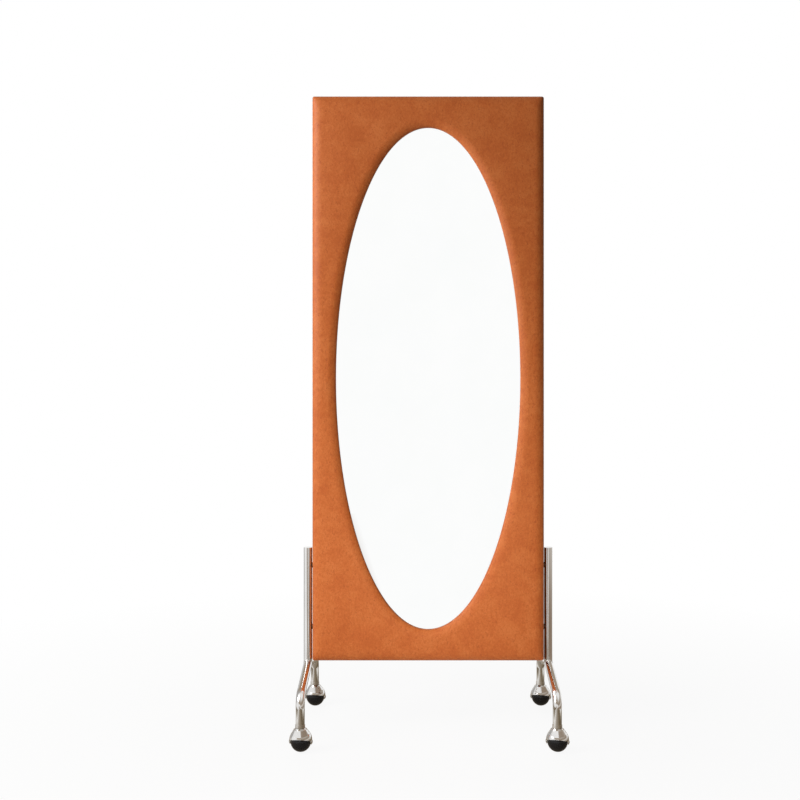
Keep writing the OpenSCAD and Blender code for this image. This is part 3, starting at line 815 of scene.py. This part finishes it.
        for inset in (*self.turned_insets, self.back_round):
            add(self.outline(inset, self.back_soften), self.back - self.pleats(inset))
        for turn in quarter_turn(self.back_steps, 1):
            inset = self.back_round * (1 - math.sin(turn))
            depth = self.back - self.back_round * (1 - math.cos(turn)) - self.pleats(inset)
            add(self.outline(inset, self.back_soften), depth)
        side_start, side_end = self.back - self.back_round, self.front + self.edge_deep
        for step in range(1, self.side_steps):
            depth = side_start + (side_end - side_start) * step / self.side_steps
            add(self.outline(0.0), depth)
        for turn in quarter_turn(self.edge_steps):
            inset = self.edge_round * (1 - math.cos(turn))
            drop = (self.edge_deep - self.shoulder_drop) * (1 - math.sin(turn)) + self.shoulder_drop
            add(self.outline(inset), self.front + drop)
        outer = made[-1][0]
        near, out = self.nearest_on_oval(outer)
        inner = near + out * self.lip_round
        first = len(made) - 1
        for step in range(1, self.face_rings + 1):
            share = self.even(step / (self.face_rings + 1))
            flat = outer + (inner - outer) * share
            from_edge = np.linalg.norm(flat - outer, axis=1)
            from_lip = np.linalg.norm(flat - inner, axis=1)
            crown = (1 - self.fade(from_edge)) * (1 - self.fade(from_lip))
            add(flat, self.front + self.shoulder_drop * (1 - crown))
        last = len(made)
        wide_drop = self.lip_deep - self.shoulder_drop - self.lip_edge
        for turn in quarter_turn(self.lip_steps):
            away = self.lip_round * (1 - math.sin(turn))
            tight = max(0.0, 1 - away / self.lip_edge)
            drop = self.shoulder_drop + wide_drop * math.sin(turn) ** 2
            rolled = self.lip_edge * (1 - math.sqrt(1 - tight * tight))
            add(near + out * away, self.front + drop + rolled)
        for depth in self.wall_depths:
            add(near, depth)
        for away in self.flange_reaches:
            add(near + out * away, self.flange_y)
        surface = [
            np.stack([flat[:, 0], depth, flat[:, 1] + self.centre_z], 1) for flat, depth in made
        ]
        return np.array(surface), (first, last)

    def even(self, share: float) -> float:
        """Returns a share of the face's width with the rings closer together near both edges."""
        return share - self.ring_crowding * math.sin(2 * math.pi * share)

    def fade(self, distance: np.ndarray) -> np.ndarray:
        """Returns 1 at an edge, falling smoothly to 0 at the shoulder's width."""
        t = np.clip(distance / self.shoulder_width, 0, 1)
        return 1 - t * t * (3 - 2 * t)

    def pleats(self, inset: float) -> np.ndarray:
        """How far the gathered folds at the back corners stand out, by spoke.

        Args:
            inset: Distance from the panel's outline.

        Returns:
            Depths, below zero where the fold stands proud of the back.
        """
        flat = self.outline(inset, self.back_soften)
        corner = np.array([self.half_width, self.half_height])
        reach = np.linalg.norm(np.abs(flat) - corner, axis=1)
        ridge = np.abs(np.sin(np.arange(len(flat)) * self.pleat_turn))
        gather = np.clip(1 - reach / self.pleat_reach, 0, 1) * min(1.0, inset / self.back_round)
        return -self.pleat_height * ridge * gather

    def faces(self, rings: int, spokes: int) -> list[tuple[int, ...]]:
        """Joins neighbouring rings with quads that face outwards.

        Args:
            rings: How many rings there are.
            spokes: How many points each ring has.

        Returns:
            The quads, as vertex numbers.
        """
        return [(r * spokes + s, r * spokes + (s + 1) % spokes,
                 (r + 1) * spokes + (s + 1) % spokes, (r + 1) * spokes + s)
                for r in range(rings - 1) for s in range(spokes)]

    def swell(self, points: np.ndarray, face: tuple[int, int]) -> np.ndarray:
        """Lets the foam push the stretched cover out, as cloth held at its edges.

        Args:
            points: The surface, by ring and spoke.
            face: First and last ring of the free front face.

        Returns:
            The settled surface.
        """
        spokes, hold = points.shape[1], self.held_rings
        first, last = face[0] - hold, face[1] + hold
        part = points[first:last + 1]
        quads = self.faces(len(part), spokes)
        cloth = new_piece("settling_cover", part.reshape(-1, 3), quads, bpy.data.materials[0])
        held = cloth.vertex_groups.new(name="held")
        fixed = [i for i in range(len(part) * spokes) if not hold <= i // spokes < len(part) - hold]
        held.add(fixed, 1.0, "ADD")
        modifier = cloth.modifiers.new("settle", "CLOTH")
        settings = modifier.settings
        settings.quality = self.cloth_quality
        settings.mass = self.cloth_mass
        settings.tension_stiffness = settings.compression_stiffness = self.cloth_tension
        settings.shear_stiffness = self.cloth_shear
        settings.bending_stiffness = self.cloth_bending
        settings.vertex_group_mass = "held"
        settings.use_pressure = True
        settings.uniform_pressure_force = self.swell_pressure
        settings.effector_weights.gravity = 0
        modifier.collision_settings.use_collision = False
        scene = bpy.context.scene
        for moment in range(1, self.swell_moments + 1):
            scene.frame_set(moment)
        settled = cloth.evaluated_get(bpy.context.evaluated_depsgraph_get()).to_mesh()
        co = np.zeros(len(settled.vertices) * 3)
        settled.vertices.foreach_get("co", co)
        scene.frame_set(1)
        moved = co.reshape(part.shape) - part
        size = np.linalg.norm(moved, axis=2, keepdims=True)
        LOG.info("cover swells by up to %.2f mm before its limit", size.max() * 1000)
        moved *= np.minimum(1.0, self.swell_limit / np.maximum(size, 1e-9))
        bpy.data.objects.remove(cloth)
        result = points.copy()
        result[first:last + 1] += moved
        return result

    def soften(self, points: np.ndarray, face: tuple[int, int]) -> np.ndarray:
        """Adds the small unevenness of hand-stretched cover, and draws it in round the leg spacers.

        Args:
            points: The surface, by ring and spoke.
            face: First and last ring of the front face.

        Returns:
            The changed surface.
        """
        result = points.copy()
        for r in range(face[0] - self.wavy_beyond[0], face[1] + self.wavy_beyond[1]):
            for s in range(points.shape[1]):
                p = points[r, s]
                uneven = (high * noise.noise(Vector(p * scale)) for high, scale in self.waves)
                result[r, s, 1] += sum(uneven)
        for side in (-1, 1):
            for height in self.spacer_heights:
                spacer = np.array([side * self.half_width, 0.0, height])
                away = np.linalg.norm(points - spacer, axis=2)
                result[..., 0] -= side * self.spacer_dent * np.exp(-(away / self.spacer_reach) ** 2)
        return result

    def sunk(self, points: np.ndarray, deep: float) -> np.ndarray:
        """Moves the surface inwards along its normals.

        Args:
            points: The cover's outer surface, by ring and spoke.
            deep: How far it goes in.

        Returns:
            The sunk surface.
        """
        rings, spokes = points.shape[:2]
        quads = self.faces(rings, spokes)
        shell = new_piece("shell", points.reshape(-1, 3), quads, bpy.data.materials[0])
        normals = np.zeros(rings * spokes * 3)
        shell.data.vertices.foreach_get("normal", normals)
        bpy.data.objects.remove(shell)
        return points - normals.reshape(points.shape) * deep

    def layer(
        self, name: str, points: np.ndarray, deep: float, thick: float, material: bpy.types.Material
    ) -> bpy.types.Object:
        """Makes a closed layer that follows the surface.

        Args:
            name: The piece's name.
            points: The cover's outer surface, by ring and spoke.
            deep: How far the layer's outer face lies under that surface.
            thick: The layer's thickness.
            material: Its finish.

        Returns:
            The piece.
        """
        rings, spokes = points.shape[:2]
        outer = self.sunk(points, deep).reshape(-1, 3)
        inner = self.sunk(points, deep + thick).reshape(-1, 3)
        count = rings * spokes
        faces = self.faces(rings, spokes)
        faces += [tuple(i + count for i in reversed(f)) for f in self.faces(rings, spokes)]
        for edge, flip in ((0, False), (rings - 1, True)):
            for s in range(spokes):
                a, b = edge * spokes + s, edge * spokes + (s + 1) % spokes
                faces.append((a, b, b + count, a + count) if flip else (b, a, a + count, b + count))
        return new_piece(name, np.concatenate([outer, inner]), faces, material)

    def board(self, points: np.ndarray, face: tuple[int, int]) -> bpy.types.Object:
        """Makes the plywood board, rounded at its edge and opening for the cover to roll round.

        Args:
            points: The cover's outer surface, by ring and spoke.
            face: First and last ring of the front face.

        Returns:
            The board, to stand for the square-edged solid.
        """
        first, last = face[0] - self.edge_steps + self.board_skips, face[1] + self.lip_steps + 1
        front = self.sunk(points, self.thickness + self.foam)[first:last]
        outside, inside = front[:1].copy(), front[-1:].copy()
        outside[..., 1] = inside[..., 1] = self.board_back
        made = np.concatenate([outside, front, inside])
        rings, spokes = made.shape[:2]
        faces, rim = self.faces(rings, spokes), (rings - 1) * spokes
        faces += [(rim + s, rim + (s + 1) % spokes, (s + 1) % spokes, s) for s in range(spokes)]
        piece = new_piece("front_board_rounded", made.reshape(-1, 3), faces, Plywood().make())
        for polygon in piece.data.polygons:
            polygon.use_smooth = False
        return piece

    def build(self) -> None:
        points, face = self.rings()
        points = self.swell(points, face)
        points = self.soften(points, face)
        cover = self.layer("panel_cover", points, 0.0, self.thickness, self.finish.make())
        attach(cover, "stand")
        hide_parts("leather_cover")
        LOG.info("padded cover: %d points", len(cover.data.vertices))
        foam = self.padding.make()
        behind, inside = len(self.turned_insets) + 1, len(self.wall_depths + self.flange_reaches)
        over_board = points[behind:-inside]
        pad = self.layer("panel_foam", over_board, self.thickness, self.foam - self.foam_ease, foam)
        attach(pad, "stand")
        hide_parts("foam_pad")
        LOG.info("foam layer: %d points", len(pad.data.vertices))
        board = self.board(points, face)
        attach(board, "stand")
        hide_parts("front_board")
        LOG.info("front board: %d points", len(board.data.vertices))


# ---------- rigid sub-assemblies ----------


@dataclass
class MirrorSet:
    """The oval glass with what holds it in the panel."""

    glass: SilveredGlass = field(default_factory=SilveredGlass)
    film: SafetyFilm = field(default_factory=SafetyFilm)
    tape: OpenFoam = OpenFoam("foam_tape", (0.05, 0.05, 0.052), (0.02, 0.02, 0.02), 0.0005)
    felt: OpenFoam = OpenFoam("grey_felt", (0.12, 0.12, 0.125), (0.05, 0.05, 0.05), 0.0007)
    zinc: PlatedSteel = PlatedSteel("zinc_plate", (0.60, 0.60, 0.57), (0.76, 0.76, 0.72))

    def build(self) -> None:
        """Dresses the mirror's nodes."""
        dress(self.glass.make(), "mirror_glass")
        dress(self.film.make(), "mirror_film")
        dress(self.tape.make(), "mirror_tape")
        dress(self.felt.make(), "mirror_pads")
        dress(self.zinc.make(), "mirror_clips", "clip_screws", "board_screws")
        LOG.info("mirror: glass, film, tape, clips and pads")


@dataclass
class TimberCore:
    """The softwood frame inside the panel."""

    dark: Colour = (0.46, 0.27, 0.12)
    pale: Colour = (0.70, 0.49, 0.27)
    dowel: Timber = Timber("beech_dowel", Grain.ACROSS, (0.50, 0.30, 0.16), (0.66, 0.46, 0.29))

    def build(self) -> None:
        """Dresses the frame's nodes."""
        upright = Timber("pine_upright", Grain.UPRIGHT, self.dark, self.pale).make()
        across = Timber("pine_across", Grain.ACROSS, self.dark, self.pale).make()
        dress(upright, "left_stile", "right_stile")
        dress(across, "top_rail", "bottom_rail", "upper_mid_rail", "lower_mid_rail")
        dress(self.dowel.make(), "frame_dowels")
        LOG.info("timber core: stiles, rails and dowels")


@dataclass
class BackClosing:
    """The hardboard back panel with its screws, and the staples under it."""

    panel: Hardboard = field(default_factory=Hardboard)
    screws: PlatedSteel = PlatedSteel(
        "blackened_steel", (0.030, 0.030, 0.032), (0.070, 0.068, 0.066), 0.4
    )
    staples: PlatedSteel = PlatedSteel("staple_wire", (0.50, 0.50, 0.50), (0.66, 0.66, 0.66), 0.3)

    def build(self) -> None:
        """Dresses the back's nodes."""
        dress(self.panel.make(), "back_panel")
        dress(self.screws.make(), "back_screws")
        dress(self.staples.make(), "cover_staples")
        LOG.info("back: panel, screws and staples")


@dataclass
class LegPair:
    """Two bent arches, each with a post that stands on its crown."""

    leg_x: float = 0.3126
    tube_r: float = 0.011
    crown_r: float = 0.080
    crown_centre_z: float = 0.08773
    bead: float = 0.0015
    bead_thin: float = 0.35
    ripples: int = 34
    ripple_high: float = 0.10
    steps: int = 96
    around: int = 10
    finish: Chrome = field(default_factory=Chrome)
    bush: PlatedSteel = PlatedSteel("browned_bush", (0.085, 0.045, 0.028), (0.12, 0.07, 0.05), 0.45)
    steel: PlatedSteel = PlatedSteel("bare_steel", (0.42, 0.42, 0.43), (0.56, 0.56, 0.57), 0.36)

    def saddle(self, turn: float) -> Vector:
        """Finds a point on the joint of post and arch.

        Args:
            turn: The angle round the post.

        Returns:
            The point, about the leg's own centre.
        """
        x, y = self.tube_r * math.cos(turn), self.tube_r * math.sin(turn)
        reach = self.crown_r + self.tube_r * abs(math.sin(turn))
        return Vector((x, y, self.crown_centre_z + math.sqrt(reach * reach - y * y)))

    def weld(self, side: int, name: str, material: bpy.types.Material) -> bpy.types.Object:
        """Makes the plated weld bead round one post's foot.

        Args:
            side: -1 for the left leg, 1 for the right one.
            name: The piece's name.
            material: Its finish.

        Returns:
            The piece.
        """
        points, around, look = [], self.around, 0.02
        for k in range(self.steps):
            turn = 2 * math.pi * k / self.steps
            centre = self.saddle(turn) + Vector((side * self.leg_x, 0, 0))
            ahead = (self.saddle(turn + look) - self.saddle(turn - look)).normalized()
            out = Vector((math.cos(turn), math.sin(turn), 0.0))
            up = ahead.cross(out).normalized() * -1
            width = self.bead_thin + (1 - self.bead_thin) * abs(math.sin(turn))
            size = self.bead * width * (1 + self.ripple_high * math.sin(turn * self.ripples))
            for j in range(around):
                a = 2 * math.pi * j / around
                points.append(centre + size * (out * math.cos(a) + up * math.sin(a)))
        faces = []
        for k in range(self.steps):
            this, following = k * around, (k + 1) % self.steps * around
            for j in range(around):
                beside = (j + 1) % around
                faces.append((this + j, this + beside, following + beside, following + j))
        return new_piece(name, np.array(points), faces, material)

    def build(self) -> None:
        """Dresses the legs' nodes and adds the weld beads."""
        chrome = self.finish.make()
        dress(chrome, "left_arch_tube", "right_arch_tube", "left_post", "right_post", "post_caps")
        dress(self.bush.make(), "leg_spacers")
        steel = self.steel.make()
        dress(steel, "foot_inserts", "leg_nuts", "leg_washers", "leg_bolts", "retaining_rings")
        for side, name in ((-1, "left_weld_bead"), (1, "right_weld_bead")):
            bead = self.weld(side, name, chrome)
            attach(bead, "stand")
        LOG.info("legs: arches, posts, bolts and weld beads")


@dataclass
class CasterSet:
    """Four swivel casters, each a black ball under a chrome hood."""

    corners: tuple[Corner, ...] = tuple(Corner)
    ball: GlossPlastic = field(default_factory=GlossPlastic)
    hood: Chrome = field(default_factory=Chrome)
    spacer: MouldedNylon = field(default_factory=MouldedNylon)
    # Painted shade: the thrust washers are near-black so that they stand in for the dark gaps round
    # each hood's collar.
    washer: MouldedNylon = MouldedNylon(
        "graphite_nylon", (0.035, 0.034, 0.033), (0.06, 0.058, 0.055)
    )
    axle: PlatedSteel = PlatedSteel("riveted_steel", (0.55, 0.55, 0.56), (0.70, 0.70, 0.71), 0.25)

    def build(self) -> None:
        """Dresses every caster's nodes."""
        kinds = (self.ball, self.hood, self.spacer, self.axle)
        ball, chrome, nylon, steel = (kind.make() for kind in kinds)
        dress(self.washer.make(), "thrust_washers")
        for corner in self.corners:
            dress(ball, f"{corner.value}_ball")
            dress(chrome, f"{corner.value}_hood", f"{corner.value}_stem")
            dress(steel, f"{corner.value}_axle")
            dress(nylon, f"{corner.value}_axle_spacers")
            LOG.info("caster: %s", corner.value)


# ---------- studio ----------


@dataclass(frozen=True)
class SoftLight:
    """A soft rectangular light that the camera doesn't see.

    Its power is in watts, and glossy tells whether metal and glass mirror it.
    """

    name: str
    place: Place
    aim: Place
    power: float
    size: tuple[float, float]
    glossy: bool = True

    def hang(self) -> None:
        """Adds the light to the scene, facing its aim."""
        data = bpy.data.lights.new(self.name, "AREA")
        data.shape = "RECTANGLE"
        data.size, data.size_y = self.size
        data.energy = self.power
        light = bpy.data.objects.new(self.name, data)
        light.location = self.place
        ahead = Vector(self.aim) - Vector(self.place)
        light.rotation_euler = ahead.to_track_quat("-Z", "Y").to_euler()
        light.visible_camera = False
        light.visible_glossy = self.glossy
        bpy.context.scene.collection.objects.link(light)


@dataclass
class Studio:
    """Camera, soft lights, pale floor and white surroundings.

    Metal and glass mirror the tones that mirrored() gives, and a painted shadow on the floor by
    each foot; the camera itself sees white behind the object.
    """

    lights: tuple[SoftLight, ...] = (
        SoftLight("side_light", (-1.9, -1.05, 1.85), (0.0, 0.0, 0.9), 48.5, (1.2, 1.5)),
        SoftLight("low_bounce", (0.05, -0.85, 0.38), (0.1, 0.0, 0.4), 3.8, (0.8, 0.5), False),
        SoftLight("rear_light", (-0.7, 2.6, 1.5), (0.0, 0.0, 0.8), 50.0, (1.6, 1.6), False),
    )
    camera_at: Place = (-0.022, -2.9, 0.918)
    lens: float = 50.15
    shift_x: float = -19.7 / 800
    shift_y: float = -25 / 800
    bright_side: float = 0.36
    dim_side: float = 0.02
    sides: tuple[float, float] = (-0.8, 0.35)
    floor_size: float = 9.0
    floor_glow: float = 0.92
    floor_dark: Colour = (0.54, 0.53, 0.515)
    floor_pale: Colour = (0.58, 0.565, 0.55)
    glow_fades: tuple[float, float] = (0.5, 2.0)
    near: tuple[float, float] = (0.75, 1.0)
    far: tuple[float, float] = (1.6, 4.0)
    black: Colour = (0.0, 0.0, 0.0)
    white: Colour = (1.0, 1.0, 1.0)
    warm_low: Colour = (0.30, 0.225, 0.165)
    warm_high: Colour = (0.46, 0.41, 0.35)
    warm_far: Colour = (0.70, 0.66, 0.61)
    warm_rise: tuple[float, float] = (-0.1, 0.8)
    right_turn: Span = (0.520, 0.528, 0.795, 0.84)
    front_left_turn: Span = (0.385, 0.43, 0.475, 0.483)
    left_turn: Span = (0.10, 0.17, 0.36, 0.41)
    rear_left_turn: Span = (0.03, 0.09, 0.20, 0.23)
    low_heights: tuple[float, float] = (0.0, 0.08)
    above_heights: Span = (0.22, 0.30, 0.80, 0.98)
    low_tone: Colour = (0.33, 0.26, 0.20)
    above_tone: Colour = (0.40, 0.33, 0.255)
    rear_left_tone: Colour = (0.48, 0.47, 0.46)
    foot_pitch: float = 0.6252
    foot_start: float = 0.5776
    # Painted shadow: tones across each foot's stretch of floor, dark to the right of the foot, seen
    # only in metal.
    foot_shadow_tones: tuple[tuple[float, Colour], ...] = (
        (0.0, white),
        (0.07, (0.80, 0.76, 0.70)),
        (0.21, (0.42, 0.37, 0.31)),
        (0.42, (0.31, 0.26, 0.20)),
        (0.60, (0.28, 0.22, 0.15)),
        (0.74, (0.14, 0.105, 0.065)),
        (0.87, (0.20, 0.155, 0.10)),
        (0.94, (0.50, 0.44, 0.35)),
        (1.0, white),
    )

    def camera(self) -> None:
        """Makes the camera."""
        data = bpy.data.cameras.new("camera")
        data.lens = self.lens
        data.sensor_width = 36.0
        data.shift_x = self.shift_x
        data.shift_y = self.shift_y
        camera = bpy.data.objects.new("camera", data)
        camera.location = self.camera_at
        camera.rotation_euler = (math.radians(90), 0.0, 0.0)
        bpy.context.scene.collection.objects.link(camera)
        bpy.context.scene.camera = camera

    def eyes(self, g: NodeGraph) -> tuple[Socket, Socket]:
        """Tells what the camera sees from what lights the object.

        Args:
            g: The node tree.

        Returns:
            1 for rays from the camera, and 1 for what gloss or glass shows it.
        """
        path = g.add("ShaderNodeLightPath").outputs
        gloss = g.maths("MAXIMUM", path["Is Glossy Ray"], path["Is Transmission Ray"])
        unscattered = g.maths("LESS_THAN", path["Diffuse Depth"], 0.5)
        return path["Is Camera Ray"], g.maths("MULTIPLY", gloss, unscattered)

    def band(
        self, g: NodeGraph, value: Socket, span: Span, inside: Colour, outside: Colour
    ) -> Socket:
        """Colours one stretch of a value, which starts, fills, fades and ends by its span."""
        return g.ramp(value, list(zip(span, (outside, inside, inside, outside))))

    def mirrored(self, g: NodeGraph, vector: Socket, warm: Socket) -> Socket:
        """Tones what metal and glass mirror: white round about, with a soft warm tone to the right.

        Turns are counted from 0 to 1 round the object, anticlockwise from behind it by way of its
        left and front.

        Args:
            g: The node tree.
            vector: A direction, or a place on the floor.
            warm: The tone to the right.

        Returns:
            The colour.
        """
        x, y, z = g.parts(vector)
        turn = g.level(g.maths("ARCTAN2", x, g.maths("MULTIPLY", y, -1.0)), -math.pi, math.pi)
        right = self.band(g, turn, self.right_turn, self.white, self.black)
        front_left = self.band(g, turn, self.front_left_turn, self.white, self.black)
        off_left = self.band(g, turn, self.left_turn, self.black, self.white)
        low = g.level(z, *self.low_heights, 1.0, 0.0)
        above = self.band(g, z, self.above_heights, self.white, self.black)
        tone = self.band(g, turn, self.rear_left_turn, self.rear_left_tone, self.white)
        tone = g.blend(g.maths("MULTIPLY", low, front_left), tone, self.low_tone)
        tone = g.blend(g.maths("MULTIPLY", above, off_left), tone, self.above_tone)
        return g.blend(right, tone, warm)

    def painted_foot_shadows(self, g: NodeGraph) -> Socket:
        """Paints shadow on the floor close by that the feet and hoods mirror, the same in front of
        each foot.

        Args:
            g: The node tree.

        Returns:
            The colour.
        """
        along = g.maths("ADD", g.parts(g.place)[0], self.foot_start)
        across = g.maths("FRACT", g.maths("DIVIDE", along, self.foot_pitch))
        return g.ramp(across, list(self.foot_shadow_tones))

    def surroundings(self) -> None:
        """Sets a world that lights softly, more from the left, and looks white."""
        world = bpy.data.worlds.new("white_studio")
        bpy.context.scene.world = world
        world.use_nodes = True
        world.node_tree.nodes.clear()
        g = NodeGraph(world.node_tree, "Generated")
        camera, gloss = self.eyes(g)
        soft, seen = g.add("ShaderNodeBackground"), g.add("ShaderNodeBackground")
        strength = g.level(g.parts(g.place)[0], *self.sides, self.bright_side, self.dim_side)
        g.feed(soft, Color=solid(self.white), Strength=strength)
        height = g.level(g.parts(g.place)[2], *self.warm_rise)
        steps = [
            (0.2, self.warm_far),
            (0.34, self.warm_low),
            (0.6, self.warm_high),
            (0.95, self.white),
        ]
        seen_tone = self.mirrored(g, g.place, g.ramp(height, steps))
        g.feed(seen, Color=g.blend(camera, seen_tone, self.white))
        mix, out = g.add("ShaderNodeMixShader"), g.add("ShaderNodeOutputWorld")
        g.fill(mix, {0: g.maths("ADD", camera, gloss), 1: soft.outputs[0], 2: seen.outputs[0]})
        g.feed(out, Surface=mix.outputs[0])

    def floor(self) -> None:
        """Lays a pale floor that fades into the white and keeps the object's shadow."""
        half = self.floor_size / 2
        corners = [(-half, -half, 0.0), (half, -half, 0.0), (half, half, 0.0), (-half, half, 0.0)]
        g = ShaderGraph("pale_floor")
        g.finish(g.ramp(g.noise(3.0, 4.0), [(0.3, self.floor_dark), (0.7, self.floor_pale)]), 0.9)
        camera, gloss = self.eyes(g)
        away = g.add("ShaderNodeVectorMath", operation="LENGTH")
        g.feed(away, Vector=g.place)
        distance = away.outputs["Value"]
        glow_share = g.level(distance, *self.glow_fades, self.floor_glow, 1.0)
        to_eye = g.maths("MULTIPLY", camera, glow_share)
        close_by = g.level(distance, *self.near, 1.0, 0.0)
        warm = g.ramp(g.level(distance, *self.far), [(0.0, self.warm_low), (1.0, self.warm_far)])
        # Near the feet, metal mirrors the painted shadow instead of the lit floor.
        seen = g.blend(close_by, self.mirrored(g, g.place, warm), self.painted_foot_shadows(g))
        glow = g.add("ShaderNodeEmission")
        g.feed(glow, Color=g.blend(camera, seen, self.white), Strength=1.0)
        mix = g.add("ShaderNodeMixShader")
        g.fill(mix, {0: g.maths("ADD", to_eye, gloss), 1: g.shader.outputs[0], 2: glow.outputs[0]})
        g.feed(g.tree.nodes["Material Output"], Surface=mix.outputs[0])
        floor = new_piece("studio_floor", np.array(corners), [(0, 1, 2, 3)], g.material)

    def build(self) -> None:
        """Sets up everything round the object."""
        bpy.context.scene.view_settings.view_transform = "Standard"
        self.camera()
        self.surroundings()
        self.floor()
        for light in self.lights:
            light.hang()
        LOG.info("studio: camera, lights, floor and surroundings")


def main() -> None:
    """Builds the scene."""
    logging.basicConfig(level=logging.INFO, format="%(name)s: %(message)s")
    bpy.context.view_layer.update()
    rigid = (MirrorSet(), TimberCore(), BackClosing(), LegPair(), CasterSet())
    for part in (Studio(), PaddedCover(), *rigid):
        part.build()


if __name__ == "__main__":
    main()
